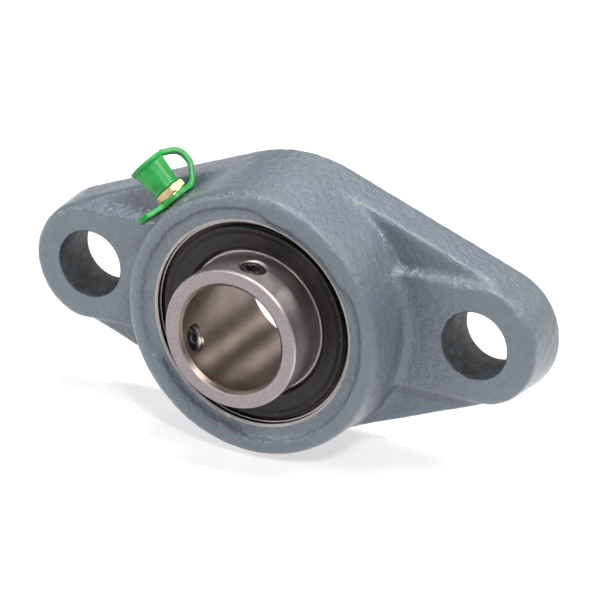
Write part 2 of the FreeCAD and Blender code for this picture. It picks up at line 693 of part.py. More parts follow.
def make_outer_ring():
    middle = -centre_height
    face_radius = half_chord(outer_ring_radius, outer_half_width - outer_ring_edge)
    groove_radius = ball_radius + race_clearance
    groove_half = half_chord(groove_radius, outer_shoulder_radius - pitch_radius)
    seal_at = outer_half_width - seal_seat_depth
    room_at = outer_half_width - slinger_room_depth
    rim_radius = face_radius - outer_ring_edge
    zero = as_size(0)
    steps = [
        (slinger_room_radius, middle + outer_half_width),
        (rim_radius, middle + outer_half_width),
        (face_radius, middle + outer_half_width - outer_ring_edge),
        (face_radius, middle - outer_half_width + outer_ring_edge, zero, middle, -1),
        (rim_radius, middle - outer_half_width),
        (slinger_room_radius, middle - outer_half_width),
        (slinger_room_radius, middle - room_at),
        (seal_seat_radius, middle - room_at),
        (seal_seat_radius, middle - seal_at),
        (outer_shoulder_radius, middle - seal_at),
        (outer_shoulder_radius, middle - groove_half),
        (outer_shoulder_radius, middle + groove_half, pitch_radius, middle, 1),
        (outer_shoulder_radius, middle + seal_at),
        (seal_seat_radius, middle + seal_at),
        (seal_seat_radius, middle + room_at),
        (slinger_room_radius, middle + room_at),
    ]
    ring = turned("outer_ring_turned", steps)
    pin_hole = radial_cylinder("pin_hole", pin_radius + pin_clearance,
                               outer_ring_radius - pin_depth - pin_clearance * 2,
                               pin_depth + overcut, pin_angle, middle)
    beside_groove = middle - groove_half - grease_groove_depth
    grease_hole = radial_cylinder("ring_grease_hole", grease_hole_radius,
                                  outer_shoulder_radius - overcut, outer_ring_wall + overcut * 2,
                                  grease_hole_angle.value, beside_groove)
    tools = combine("Part::MultiFuse", "outer_ring_cuts", pin_hole, grease_hole)
    finish(combine("Part::Cut", "outer_ring_shape", ring, tools), "outer_ring")


def make_pin():
    pin = radial_cylinder("pin", pin_radius, outer_ring_radius - pin_depth,
                          pin_depth + pin_stand_out, pin_angle, -centre_height)
    finish(pin, "anti_rotation_pin")


def screw_angles():
    return (screw_first_angle.value, screw_first_angle.value + screw_spread.value)


def make_inner_ring():
    middle = -centre_height
    front = middle - inner_ring_front
    back = middle + inner_ring_back
    groove_radius = ball_radius + race_clearance
    groove_half = half_chord(groove_radius, pitch_radius - inner_ring_radius)
    steps = [
        (shaft_bore_radius, back - inner_ring_chamfer),
        (shaft_bore_radius, front + inner_ring_chamfer),
        (shaft_bore_radius + inner_ring_chamfer, front),
        (inner_ring_radius - inner_ring_edge, front),
        (inner_ring_radius, front + inner_ring_edge),
        (inner_ring_radius, middle - groove_half),
        (inner_ring_radius, middle + groove_half, pitch_radius, middle, -1),
        (inner_ring_radius, back - inner_ring_edge),
        (inner_ring_radius - inner_ring_edge, back),
        (shaft_bore_radius + inner_ring_chamfer, back),
    ]
    ring = turned("inner_ring_turned", steps)
    hole_radius = screw_radius + screw_clearance
    mouth_radius = hole_radius + screw_mouth
    rim = half_chord(inner_ring_radius, mouth_radius)
    tools = []
    for number, degrees in enumerate(screw_angles(), 1):
        tools.append(radial_cylinder(f"screw_hole_{number}", hole_radius,
                                     shaft_bore_radius - overcut, inner_ring_radius, degrees,
                                     screw_height))
        mouth = primitive("Part::Cone", f"screw_mouth_{number}", Radius1=hole_radius,
                          Radius2=mouth_radius + overcut, Height=screw_mouth + overcut)
        way = round_direction(degrees)
        mouth.Placement.Rotation = turn_to(way, own_z)
        start = rim - screw_mouth
        bind_base(mouth, start * way.x, screw_height, start * way.z)
        tools.append(mouth)
    cuts = combine("Part::MultiFuse", "inner_ring_cuts", *tools)
    finish(combine("Part::Cut", "inner_ring_shape", ring, cuts), "inner_ring")


def hexagon(name, across_flats, height):
    prism = primitive("Part::Prism", name, Height=height,
                      Circumradius=across_flats / 2 * (2 / math.sqrt(3)))
    prism.Polygon = 6
    return prism


def make_set_screws():
    for number, degrees in enumerate(screw_angles(), 1):
        profile = turned(f"screw_blank_{number}", [
            (as_size(0), as_size(0)), (screw_radius - screw_point_height, as_size(0)),
            (screw_radius, screw_point_height), (screw_radius, screw_length),
            (as_size(0), screw_length)])
        socket = hexagon(f"screw_socket_{number}", screw_key, screw_key_depth + overcut)
        socket.Placement.Rotation = turn_to(axis_y, own_z)
        bind_base(socket, 0, screw_length - screw_key_depth, 0)
        screw = combine("Part::Cut", f"screw_{number}", profile, socket)
        way = round_direction(degrees)
        start = shaft_bore_radius + screw_back_off
        screw.Placement.Rotation = turn_to(way)
        bind_base(screw, start * way.x, screw_height, start * way.z)
        finish(screw, f"set_screw_{number}")


make_outer_ring()
make_pin()
make_inner_ring()
make_set_screws()


# ---- balls and cage ---------------------------------------------------------------------------

ball_total = int(ball_count.value)
ball_step = 360.0 / ball_total
first_ball = ball_step / 4


def ball_angle(number):
    return first_ball + number * ball_step


def on_pitch_circle(name, radius, degrees):
    way = round_direction(degrees)
    sphere = primitive("Part::Sphere", name, Radius=radius)
    sphere.Placement.Rotation = turn_to(axis_y, own_z)
    bind_base(sphere, pitch_radius * way.x, -centre_height, pitch_radius * way.z)
    return sphere


def make_balls():
    for number in range(ball_total):
        ball = on_pitch_circle(f"rolling_ball_{number + 1}", ball_radius, ball_angle(number))
        finish(ball, f"ball_{number + 1}")


def make_cage_half(label, side):
    """One pressed half of the cage: flat between the balls and cupped round each one."""
    pocket_radius = ball_radius + cage_clearance
    cup_radius = pocket_radius + cage_sheet
    flat = primitive("Part::Cylinder", f"{label}_flat", Radius=cage_outer_radius, Height=cage_sheet)
    cups = []
    pockets = []
    for number in range(ball_total):
        degrees = ball_angle(number)
        cups.append(on_pitch_circle(f"{label}_cup_{number}", cup_radius, degrees))
        pockets.append(on_pitch_circle(f"{label}_pocket_{number}", pocket_radius, degrees))
        way = round_direction(degrees + ball_step / 2)
        hole = primitive("Part::Cylinder", f"{label}_hole_{number}", Radius=rivet_radius,
                         Height=cage_sheet * 4)
        hole.Placement.Rotation = turn_to(axis_y, own_z)
        bind_base(hole, pitch_radius * way.x, -(centre_height + cage_sheet * 2),
                  pitch_radius * way.z)
        pockets.append(hole)
    blank = combine("Part::MultiFuse", f"{label}_blank", flat, *cups)
    band_outside = primitive("Part::Cylinder", f"{label}_outside", Radius=cage_outer_radius,
                             Height=cup_radius + overcut)
    band_inside = primitive("Part::Cylinder", f"{label}_inside", Radius=cage_inner_radius,
                            Height=cup_radius + overcut * 2)
    away = FreeCAD.Vector(0, side, 0)
    for shape in (flat, band_outside, band_inside):
        shape.Placement.Rotation = turn_to(away, own_z)
        bind_base(shape, 0, -centre_height, 0)
    band = combine("Part::Cut", f"{label}_band", band_outside, band_inside)
    trimmed = combine("Part::MultiCommon", f"{label}_trimmed", blank, band)
    tools = combine("Part::MultiFuse", f"{label}_pockets", *pockets)
    finish(combine("Part::Cut", f"{label}_shape", trimmed, tools), label)


def make_rivets():
    """All the cage's rivets, each a shank with a head on both sides."""
    rivets = []
    for number in range(ball_total):
        way = round_direction(ball_angle(number + 0.5))
        under_head = cage_sheet
        top = cage_sheet + rivet_head_height
        rivet = turned(f"rivet_{number}", [
            (as_size(0), -top), (rivet_head_radius, -top), (rivet_head_radius, -under_head),
            (rivet_radius, -under_head), (rivet_radius, under_head),
            (rivet_head_radius, under_head), (rivet_head_radius, top), (as_size(0), top)])
        bind_base(rivet, pitch_radius * way.x, -centre_height, pitch_radius * way.z)
        rivets.append(rivet)
    group = doc.addObject("Part::Compound", "rivet_group")
    group.Links = rivets
    finish(group, "cage_rivets")


make_balls()
make_cage_half("cage_front", -1)
make_cage_half("cage_rear", 1)
make_rivets()


# ---- seals and slingers -----------------------------------------------------------------------

def ring_steps(inner, outer, near, far):
    """A plain ring from radius inner to outer, between two distances from the bearing's middle."""
    return [(inner, near), (outer, near), (outer, far), (inner, far)]


def outward(side, distance):
    """Height of a point this far from the bearing's middle, in front (-1) or behind (+1)."""
    return -centre_height + distance * side


def make_seal(place, side):
    shoulder = outer_half_width - seal_seat_depth
    middle = shoulder + seal_lip_width / 2
    plate_near = middle - seal_plate_thickness / 2
    plate_far = middle + seal_plate_thickness / 2
    plate = turned(f"{place}_plate", ring_steps(
        seal_plate_inner, seal_seat_radius - seal_fit,
        outward(side, plate_near), outward(side, plate_far)))
    finish(plate, f"{place}_seal_plate")
    lip = turned(f"{place}_lip", ring_steps(
        inner_ring_radius + seal_gap, seal_plate_inner,
        outward(side, shoulder), outward(side, shoulder + seal_lip_width)))
    finish(lip, f"{place}_seal_lip")


def make_slinger(place, side):
    front = outer_half_width + slinger_stand_out
    disc_back = front - slinger_thickness
    collar_end = front - slinger_collar_length
    steps = [
        (inner_ring_radius, collar_end),
        (inner_ring_radius + slinger_collar, collar_end),
        (inner_ring_radius + slinger_collar, disc_back - slinger_thickness / 2),
        (inner_ring_radius + slinger_collar * 2, disc_back),
        (slinger_radius, disc_back),
        (slinger_radius, front),
        (inner_ring_radius + slinger_funnel, front),
        (inner_ring_radius, front - slinger_funnel),
    ]
    outline = [(across, outward(side, distance)) for across, distance in steps]
    finish(turned(f"{place}_slinger_turned", outline), f"{place}_slinger")


for seal_place, seal_side in (("front", -1), ("rear", 1)):
    make_seal(seal_place, seal_side)
    make_slinger(seal_place, seal_side)


# ---- grease nipple, its check valve and its cap -----------------------------------------------

def stand_on_nipple(shape, height):
    """Put a shape that is made along its own Y on the nipple's axis, this far above its base."""
    distance = nipple_seat + height
    shape.Placement.Rotation = turn_to(nipple_way)
    bind_base(shape, distance * nipple_way.x, -centre_height, distance * nipple_way.z)


check_ball_height = (nipple_height - nipple_mouth_depth - check_ball_gap
                     - half_chord(check_ball_radius, nipple_mouth_radius))


def make_nipple():
    neck = nipple_hex_top + nipple_neck_slope
    widest = nipple_hex_top + nipple_head_rise
    mouth = nipple_height - nipple_mouth_depth
    stem = turned("nipple_stem", [
        (nipple_passage_radius, -nipple_thread_length),
        (nipple_thread_radius, -nipple_thread_length),
        (nipple_thread_radius, nipple_hex_start),
        (nipple_thread_radius, nipple_hex_top),
        (nipple_neck_radius, neck),
        (nipple_neck_radius, neck + nipple_neck_length),
        (nipple_head_radius, widest),
        (nipple_head_radius, widest + nipple_head_band),
        (nipple_tip_radius, nipple_height),
        (nipple_mouth_radius, nipple_height),
        (nipple_mouth_radius, mouth),
        (nipple_passage_radius, mouth - nipple_mouth_taper)])
    flats = hexagon("nipple_hexagon", nipple_hex, nipple_hex_height)
    core = primitive("Part::Cylinder", "nipple_core",
                     Radius=(nipple_thread_radius + nipple_passage_radius) / 2,
                     Height=nipple_hex_height)
    hex_nut = combine("Part::Cut", "nipple_nut", flats, core)
    hex_nut.Placement.Rotation = turn_to(axis_y, own_z)
    bind_base(hex_nut, 0, nipple_hex_start, 0)
    nipple = combine("Part::MultiFuse", "nipple", stem, hex_nut)
    stand_on_nipple(nipple, as_size(0))
    finish(nipple, "grease_nipple")


def make_check_valve():
    ball = primitive("Part::Sphere", "check_ball", Radius=check_ball_radius)
    stand_on_nipple(ball, check_ball_height)
    finish(ball, "nipple_ball")

    # The spring's wire follows a helix along its own Z, which is then laid on the nipple's axis.
    length = check_ball_height.value - spring_top.value - spring_start.value
    wire_radius = spring_wire_radius.value
    rise = length - 2 * wire_radius
    helix = Part.makeHelix(rise / spring_turns.value, rise, spring_radius.value)
    start = helix.Edges[0].valueAt(helix.Edges[0].FirstParameter)
    section = Part.Wire(Part.makeCircle(wire_radius, start, FreeCAD.Vector(0, 1, 0)))
    coil = Part.Wire(helix.Edges).makePipeShell([section], True, True)
    spring = doc.addObject("Part::Feature", "check_spring")
    spring.Shape = coil
    base = nipple_seat.value + spring_start.value + wire_radius
    spring.Placement = FreeCAD.Placement(
        nipple_way * base + FreeCAD.Vector(0, -centre_height.value, 0),
        turn_to(nipple_way, own_z))
    finish(spring, "nipple_spring")


def make_cap():
    cavity = nipple_tip_height + cap_gap
    inside = nipple_head_radius + cap_gap
    cap = turned("cap_cup", [
        (as_size(0), cap_length), (cap_end_radius, cap_length), (cap_base_radius, as_size(0)),
        (inside, as_size(0)), (inside, cavity), (as_size(0), cavity)])
    stand_on_nipple(cap, nipple_hex_top + cap_gap)
    finish(cap, "nipple_cap")


def make_strap():
    """The cap's strap: an eyelet round the nipple, a pull tab and the loop that goes to the cap."""
    hole = primitive("Part::Cylinder", "eyelet_hole", Radius=nipple_thread_radius + eyelet_gap,
                     Height=strap_thickness * 3)
    bind_base(hole, 0, 0, -strap_thickness)
    plate = combine("Part::MultiFuse", "eyelet_blank",
                    *strap_plate("eyelet", as_size(0), strap_thickness))
    eyelet = combine("Part::Cut", "eyelet", plate, hole)
    strap = combine("Part::MultiFuse", "strap", eyelet, strap_loop("strap_loop", as_size(0), True))
    lay_strap(strap, 0)
    finish(strap, "cap_strap")


make_nipple()
make_check_valve()
make_cap()
make_strap()


# ---- check and write --------------------------------------------------------------------------

doc.recompute()
for thing in doc.Objects:
    if "Invalid" in thing.State or "Error" in thing.State:
        raise ValueError(f"{thing.Name} ({thing.Label}) failed: {thing.State}")
for subpart in subparts:
    shape = subpart.Shape
    if shape.isNull() or not shape.isValid() or shape.Volume <= 0 or not shape.Solids:
        raise ValueError(f"{subpart.Label} isn't a sound solid")
for subpart in subparts:
    subpart.Shape.exportStep(f"parts/{subpart.Label}.step")
    box = subpart.Shape.BoundBox
    print(f"{subpart.Label}: {len(subpart.Shape.Solids)} solid(s), {subpart.Shape.Volume:.1f} mm3, "
          f"Y {box.YMin:.2f} to {box.YMax:.2f}")
print(f"{len(subparts)} sub-parts written")
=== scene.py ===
import json
import math

import bmesh
import bpy
from mathutils import Matrix, Vector, noise


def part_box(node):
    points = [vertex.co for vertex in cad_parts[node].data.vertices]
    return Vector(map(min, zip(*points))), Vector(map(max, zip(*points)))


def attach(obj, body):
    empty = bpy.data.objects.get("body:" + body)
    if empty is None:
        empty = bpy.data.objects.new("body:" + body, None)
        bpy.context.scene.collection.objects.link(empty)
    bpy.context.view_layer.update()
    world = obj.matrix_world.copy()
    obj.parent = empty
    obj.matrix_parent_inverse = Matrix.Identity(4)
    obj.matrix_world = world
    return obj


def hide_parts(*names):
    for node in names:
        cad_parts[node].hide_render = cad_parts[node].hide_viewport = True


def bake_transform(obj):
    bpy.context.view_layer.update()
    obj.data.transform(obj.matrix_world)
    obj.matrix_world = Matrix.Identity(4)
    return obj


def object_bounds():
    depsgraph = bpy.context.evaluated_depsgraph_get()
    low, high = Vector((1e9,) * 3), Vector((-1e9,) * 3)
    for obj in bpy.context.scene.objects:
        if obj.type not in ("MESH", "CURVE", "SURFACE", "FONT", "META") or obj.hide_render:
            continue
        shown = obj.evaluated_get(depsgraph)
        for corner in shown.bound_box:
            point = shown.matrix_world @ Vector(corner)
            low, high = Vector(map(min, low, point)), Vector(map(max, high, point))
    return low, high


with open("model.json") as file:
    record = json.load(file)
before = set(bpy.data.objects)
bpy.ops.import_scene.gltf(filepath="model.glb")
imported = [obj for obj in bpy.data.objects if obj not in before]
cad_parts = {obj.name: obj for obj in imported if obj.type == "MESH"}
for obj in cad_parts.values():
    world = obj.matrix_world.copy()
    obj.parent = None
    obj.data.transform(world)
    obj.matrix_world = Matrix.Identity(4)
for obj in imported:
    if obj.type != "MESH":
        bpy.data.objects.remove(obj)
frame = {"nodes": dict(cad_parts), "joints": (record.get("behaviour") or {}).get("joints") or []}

mm = 0.001
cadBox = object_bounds()
scene = bpy.context.scene
nodes = frame["nodes"]

ringLow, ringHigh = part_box("outer_ring")
bearingY = (ringLow.y + ringHigh.y) / 2        # the middle of the balls, along the shaft
bearingMiddle = Vector((0, bearingY, 0))
shaftAxis = Vector((0, 1, 0))


# Camera, on the front right and a little above.

cameraSet = {
    "azimuth": 28.11,
    "elevation": 23.30,
    "roll": 0.11,
    "distance": 1.094,
    "right": -1.15 * mm,
    "up": -3.56 * mm,
    "lens": 286.7,
}


def makeCamera():
    azimuth = math.radians(cameraSet["azimuth"])
    elevation = math.radians(cameraSet["elevation"])
    back = Vector((math.sin(azimuth) * math.cos(elevation),
                   -math.cos(azimuth) * math.cos(elevation), math.sin(elevation)))
    right = Vector((math.cos(azimuth), math.sin(azimuth), 0))
    up = back.cross(right)
    data = bpy.data.cameras.new("studioCamera")
    data.lens = cameraSet["lens"]
    data.sensor_width = 36
    data.clip_start = 0.01
    data.clip_end = 50
    camera = bpy.data.objects.new("studioCamera", data)
    scene.collection.objects.link(camera)
    turn = Matrix((right, up, back)).transposed().to_4x4()
    place = back * cameraSet["distance"] + right * cameraSet["right"] + up * cameraSet["up"]
    roll = Matrix.Rotation(math.radians(cameraSet["roll"]), 4, "Z")
    camera.matrix_world = Matrix.Translation(place) @ turn @ roll
    scene.camera = camera


makeCamera()
print("camera set")


# Small helpers for shader nodes.


def addNode(tree, kind, inputs=None, **settings):
    made = tree.nodes.new(kind)
    for key, value in settings.items():
        setattr(made, key, value)
    for key, value in (inputs or {}).items():
        if isinstance(value, bpy.types.NodeSocket):
            tree.links.new(value, made.inputs[key])
        else:
            made.inputs[key].default_value = value
    return made


def newMaterial(name, **values):
    material = bpy.data.materials.new(name)
    material.use_nodes = True
    tree = material.node_tree
    shader = tree.nodes["Principled BSDF"]
    for key, value in values.items():
        shader.inputs[key.replace("_", " ")].default_value = value
    return material, tree, shader


def objectPoint(tree):
    return addNode(tree, "ShaderNodeTexCoord").outputs["Object"]


def noiseOf(tree, point, scale, detail=3.0, rough=0.55):
    inputs = {"Vector": point, "Scale": scale, "Detail": detail, "Roughness": rough}
    return addNode(tree, "ShaderNodeTexNoise", inputs).outputs["Fac"]


def mathOf(tree, operation, first, second=0.0):
    return addNode(tree, "ShaderNodeMath", {0: first, 1: second}, operation=operation).outputs[0]


def rangeOf(tree, value, fromLow, fromHigh, toLow=0.0, toHigh=1.0):
    inputs = {"Value": value, "From Min": fromLow, "From Max": fromHigh,
              "To Min": toLow, "To Max": toHigh}
    return addNode(tree, "ShaderNodeMapRange", inputs).outputs["Result"]


def mixColour(tree, factor, first, second, blend="MIX"):
    inputs = {0: factor, 6: first, 7: second}
    return addNode(tree, "ShaderNodeMix", inputs, data_type="RGBA", blend_type=blend).outputs[2]


def bumpOf(tree, height, distance, strength=1.0, under=None):
    inputs = {"Height": height, "Distance": distance, "Strength": strength}
    if under is not None:
        inputs["Normal"] = under
    return addNode(tree, "ShaderNodeBump", inputs).outputs["Normal"]


def splitPoint(tree, point):
    parts = addNode(tree, "ShaderNodeSeparateXYZ", {0: point}).outputs
    return parts["X"], parts["Y"], parts["Z"]


def radiusOf(tree, across, upward):
    square = mathOf(tree, "ADD", mathOf(tree, "MULTIPLY", across, across),
                    mathOf(tree, "MULTIPLY", upward, upward))
    return mathOf(tree, "SQRT", square)


def turnedPoint(tree, point):
    # The place on a turned piece as (radius, distance along the shaft, 0).
    x, y, z = splitPoint(tree, point)
    return addNode(tree, "ShaderNodeCombineXYZ", {0: radiusOf(tree, x, z), 1: y}).outputs[0]


# Small helpers for meshes.


def bakeMesh(thing):
    # Leaves the object with the mesh that its modifiers make, and no modifiers.
    bpy.context.view_layer.update()
    graph = bpy.context.evaluated_depsgraph_get()
    made = bpy.data.meshes.new_from_object(thing.evaluated_get(graph))
    old = thing.data
    thing.modifiers.clear()
    thing.data = made
    bpy.data.meshes.remove(old)


def looseObject(name, mesh):
    data = bpy.data.meshes.new(name)
    mesh.to_mesh(data)
    mesh.free()
    thing = bpy.data.objects.new(name, data)
    scene.collection.objects.link(thing)
    return thing


def cutWith(thing, tools, operation="DIFFERENCE"):
    for tool in tools:
        cut = thing.modifiers.new("cut", "BOOLEAN")
        cut.operation = operation
        cut.solver = "EXACT"
        cut.object = tool
    bakeMesh(thing)
    for tool in tools:
        bpy.data.objects.remove(tool)


def roundedOutline(mesh, corners):
    # A flat closed outline in the XY plane. Each corner is (across, along, rounding) in mm.
    verts = [mesh.verts.new((corner[0] * mm, corner[1] * mm, 0)) for corner in corners]
    mesh.faces.new(verts)
    for vert, corner in zip(verts, corners):
        if len(corner) > 2 and corner[2] > 0:
            bmesh.ops.bevel(mesh, geom=[vert], offset=corner[2] * mm, offset_type="OFFSET",
                            affect="VERTICES", segments=4, profile=0.5, material=-1)
    bmesh.ops.delete(mesh, geom=list(mesh.faces), context="FACES_ONLY")


def arcCorners(centre, radius, first, last, count):
    # Corners along an arc, for an outline: the angles are in degrees from the across direction.
    corners = []
    for step in range(count + 1):
        angle = math.radians(first + (last - first) * step / count)
        corners.append((centre[0] + radius * math.cos(angle), centre[1] + radius * math.sin(angle)))
    return corners


def turnedMesh(corners, steps=128):
    # The outline's across is the radius and its along is the distance along the piece's Y axis.
    mesh = bmesh.new()
    roundedOutline(mesh, corners)
    bmesh.ops.spin(mesh, geom=list(mesh.verts) + list(mesh.edges), cent=(0, 0, 0), axis=(0, 1, 0),
                   angle=math.tau, steps=steps, use_merge=True, use_duplicate=False)
    bmesh.ops.remove_doubles(mesh, verts=list(mesh.verts), dist=0.001 * mm)
    bmesh.ops.recalc_face_normals(mesh, faces=list(mesh.faces))
    return mesh


def prismMesh(sides, radius, length, bottom=0.0):
    # A prism along its own Y from bottom to bottom + length, all in mm.
    mesh = bmesh.new()
    bmesh.ops.create_cone(mesh, cap_ends=True, segments=sides, radius1=radius * mm,
                          radius2=radius * mm, depth=length * mm)
    bmesh.ops.rotate(mesh, verts=list(mesh.verts), matrix=Matrix.Rotation(-math.pi / 2, 3, "X"))
    bmesh.ops.translate(mesh, verts=list(mesh.verts), vec=(0, (bottom + length / 2) * mm, 0))
    return mesh


def boxMesh(low, high):
    mesh = bmesh.new()
    bmesh.ops.create_cube(mesh, size=1.0)
    size = Vector(high) - Vector(low)
    bmesh.ops.scale(mesh, verts=list(mesh.verts), vec=size * mm)
    bmesh.ops.translate(mesh, verts=list(mesh.verts), vec=(Vector(high) + Vector(low)) / 2 * mm)
    return mesh


def moved(mesh, place):
    bmesh.ops.transform(mesh, matrix=place, verts=list(mesh.verts))
    return mesh


def remeshed(thing, voxel, smoothing):
    remesh = thing.modifiers.new("remesh", "REMESH")
    remesh.mode = "VOXEL"
    remesh.voxel_size = voxel * mm
    remesh.use_smooth_shade = True
    soften = thing.modifiers.new("soften", "SMOOTH")
    soften.factor = 0.5
    soften.iterations = smoothing
    bakeMesh(thing)


def finishPiece(thing, name, body, materials, replaced, sharp, weighted=True):
    # A piece that bends across a joint has no body here.
    thing.name = name
    thing.data.name = name
    thing.data.materials.clear()
    for material in materials:
        thing.data.materials.append(material)
    for face in thing.data.polygons:
        face.use_smooth = True
    thing.data.set_sharp_from_angle(angle=math.radians(sharp))
    if weighted:
        normals = thing.modifiers.new("evenShading", "WEIGHTED_NORMAL")
        normals.keep_sharp = True
    if body:
        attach(thing, body)
    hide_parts(*replaced)


# Where the grease nipple stands: it leans left of straight up.

nippleSeat = 32.5        # mm, shaft's axis to the nipple's base
capPull = next(joint for joint in frame["joints"] if joint["name"] == "cap_pull")
nippleAxis = Vector(capPull["axis"]).normalized()
# The strap's own side direction lies halfway between the mounting face and a line across it.
besideNipple = (shaftAxis + shaftAxis.cross(nippleAxis)).normalized()
nippleBase = bearingMiddle + nippleAxis * nippleSeat * mm
nipplePlace = Matrix.Translation(nippleBase) @ Matrix(
    (besideNipple, nippleAxis, besideNipple.cross(nippleAxis))).transposed().to_4x4()


# Painted casting.

castingSet = {
    "voxel": 0.5,                 # mm
    "smoothing": 30,
    "lumpSize": 8.0,              # mm, the slow waves of a sand casting
    "lumpHeight": 0.11,
    "grainSize": 1.5,             # mm, the paint over the sand's grain
    "grainHeight": 0.055,
    "flatNearBase": 1.2,          # mm of wall that fades into the machined mounting face
    "mouthDepth": 9.3,            # mm from the middle of the balls to either end of the seat
    "seatGap": 0.06,
    "bevel": (0.5, 0.4),          # width and depth of the turned edge at the mouth
    "backOpening": 26.5,
    "groove": (0.8, 3.0),         # depth and width of the grease groove
    "slotHalfHeight": 9.0,
    "pinSlot": (1.4, 2.4, 1.6),   # half width, half length and height
    "nippleHole": 3.0,
    "nipplePad": (4.1, 0.0),      # radius, and height beside the nipple's base
    "boltX": 49.5,
    "boltRadius": 8.0,
    "boltEdge": 0.3,
    "armFront": 13.0,
    "coat": 0.75,
    "paint": (0.100, 0.127, 0.160, 1),
    "paintDark": (0.072, 0.094, 0.119, 1),
    "paintGreen": (0.097, 0.121, 0.136, 1),
    "paintThin": (0.050, 0.062, 0.074, 1),
    # the bolt holes' walls, painted near black for the dark iron and for the shade inside the holes
    "holeWallAndShade": (0.022, 0.022, 0.021, 1),
    "turnedEdge": (0.33, 0.30, 0.295, 1),
    # the seat's bare iron and its stains, painted dark for oil and for the shade inside the mouth
    "bareIronAndShade": (0.075, 0.068, 0.064, 1),
    "stainedIronAndShade": (0.035, 0.032, 0.030, 1),
}

seatRadius = ringHigh.x / mm + castingSet["seatGap"]
mouthRadius = math.sqrt(seatRadius ** 2 - castingSet["mouthDepth"] ** 2)
rimRadius = mouthRadius + castingSet["bevel"][0]


def paintedIron():
    material, tree, shader = newMaterial("paintedIron", Coat_Roughness=0.11, IOR=1.5)
    point = objectPoint(tree)
    x, z = splitPoint(tree, point)[::2]
    broad = rangeOf(tree, noiseOf(tree, point, 55, 4), 0.35, 0.65)
    fine = rangeOf(tree, noiseOf(tree, point, 520, 5, 0.65), 0.35, 0.7)
    colour = mixColour(tree, broad, castingSet["paint"], castingSet["paintGreen"])
    colour = mixColour(tree, mathOf(tree, "MULTIPLY", fine, 0.45), colour, castingSet["paintDark"])
    # The bolt holes are only dusted with paint, and their walls are painted near black in patches, for the
    # dark iron and for the shade inside the holes.
    reach = mathOf(tree, "SUBTRACT", mathOf(tree, "ABSOLUTE", x), castingSet["boltX"] * mm)
    wobble = mathOf(tree, "MULTIPLY", noiseOf(tree, point, 380, 3), 0.5 * mm)
    boltRadius = mathOf(tree, "SUBTRACT", radiusOf(tree, reach, z), wobble)
    edge = castingSet["boltRadius"] * mm
    inHole = rangeOf(tree, boltRadius, edge - 0.12 * mm, edge + 0.14 * mm, 1.0, 0.0)
    patches = rangeOf(tree, noiseOf(tree, point, 240, 5, 0.7), 0.42, 0.62)
    wall = mixColour(tree, patches, castingSet["holeWallAndShade"], castingSet["paintThin"])
    colour = mixColour(tree, inHole, colour, wall)
    # The paint stops short of the mouth and leaves a thin turned edge bare.
    rim = rimRadius * mm
    fromShaft = mathOf(tree, "SUBTRACT", radiusOf(tree, x, z), mathOf(tree, "MULTIPLY", wobble, 0.5))
    atRim = rangeOf(tree, fromShaft, rim - 0.06 * mm, rim + 0.06 * mm, 1.0, 0.0)
    colour = mixColour(tree, atRim, colour, castingSet["turnedEdge"])
    tree.links.new(colour, shader.inputs["Base Color"])
    tree.links.new(rangeOf(tree, inHole, 0, 1, castingSet["coat"], 0), shader.inputs["Coat Weight"])
    roughness = rangeOf(tree, fine, 0, 1, 0.36, 0.52)
    tree.links.new(mathOf(tree, "ADD", roughness, mathOf(tree, "MULTIPLY", inHole, 0.15)),
                   shader.inputs["Roughness"])
    lumps = noiseOf(tree, point, 620, 2, 0.5)
    grain = noiseOf(tree, point, 1900, 3, 0.6)
    bump = bumpOf(tree, lumps, 0.42 * mm, 0.9)
    bump = bumpOf(tree, grain, 0.24 * mm, 0.85, bump)
    tree.links.new(bump, shader.inputs["Normal"])
    tree.links.new(bump, shader.inputs["Coat Normal"])
    return material


def machinedIron():
    material, tree, shader = newMaterial("machinedIron", Metallic=0.6)
    # The seat's iron is painted dark: partly oil on the iron, partly painted shade inside the mouth.
    point = objectPoint(tree)
    marks = noiseOf(tree, turnedPoint(tree, point), 3200, 2)
    stain = rangeOf(tree, noiseOf(tree, point, 130, 4), 0.35, 0.7)
    colour = mixColour(tree, stain, castingSet["bareIronAndShade"], castingSet["stainedIronAndShade"])
    tree.links.new(colour, shader.inputs["Base Color"])
    tree.links.new(rangeOf(tree, marks, 0.3, 0.7, 0.28, 0.42), shader.inputs["Roughness"])
    tree.links.new(bumpOf(tree, marks, 0.02 * mm, 0.5), shader.inputs["Normal"])
    return material


def castSkin(thing):
    mesh = bmesh.new()
    mesh.from_mesh(thing.data)
    mesh.normal_update()
    for vert in mesh.verts:
        place = vert.co / mm
        fade = min(1.0, max(0.0, -place.y / castingSet["flatNearBase"]))
        lump = noise.noise(place / castingSet["lumpSize"]) * castingSet["lumpHeight"]
        grain = noise.noise(place / castingSet["grainSize"]) * castingSet["grainHeight"]
        vert.co += vert.normal * (lump + grain) * fade * mm
        if vert.co.y > -0.12 * mm and vert.normal.y > 0.7:
            vert.co.y = 0
    mesh.to_mesh(thing.data)
    mesh.free()


def boltTool(side):
    # The drilled bolt hole, with its edge barely broken at both faces.
    radius, front, edge = castingSet["boltRadius"], castingSet["armFront"], castingSet["boltEdge"]
    tool = turnedMesh([(0, 1), (radius + edge + 1, 1), (radius, -edge), (radius, edge - front),
                       (radius + edge + 1, -front - 1), (0, -front - 1)], 96)
    bmesh.ops.translate(tool, verts=list(tool.verts), vec=(side * castingSet["boltX"] * mm, 0, 0))
    return tool


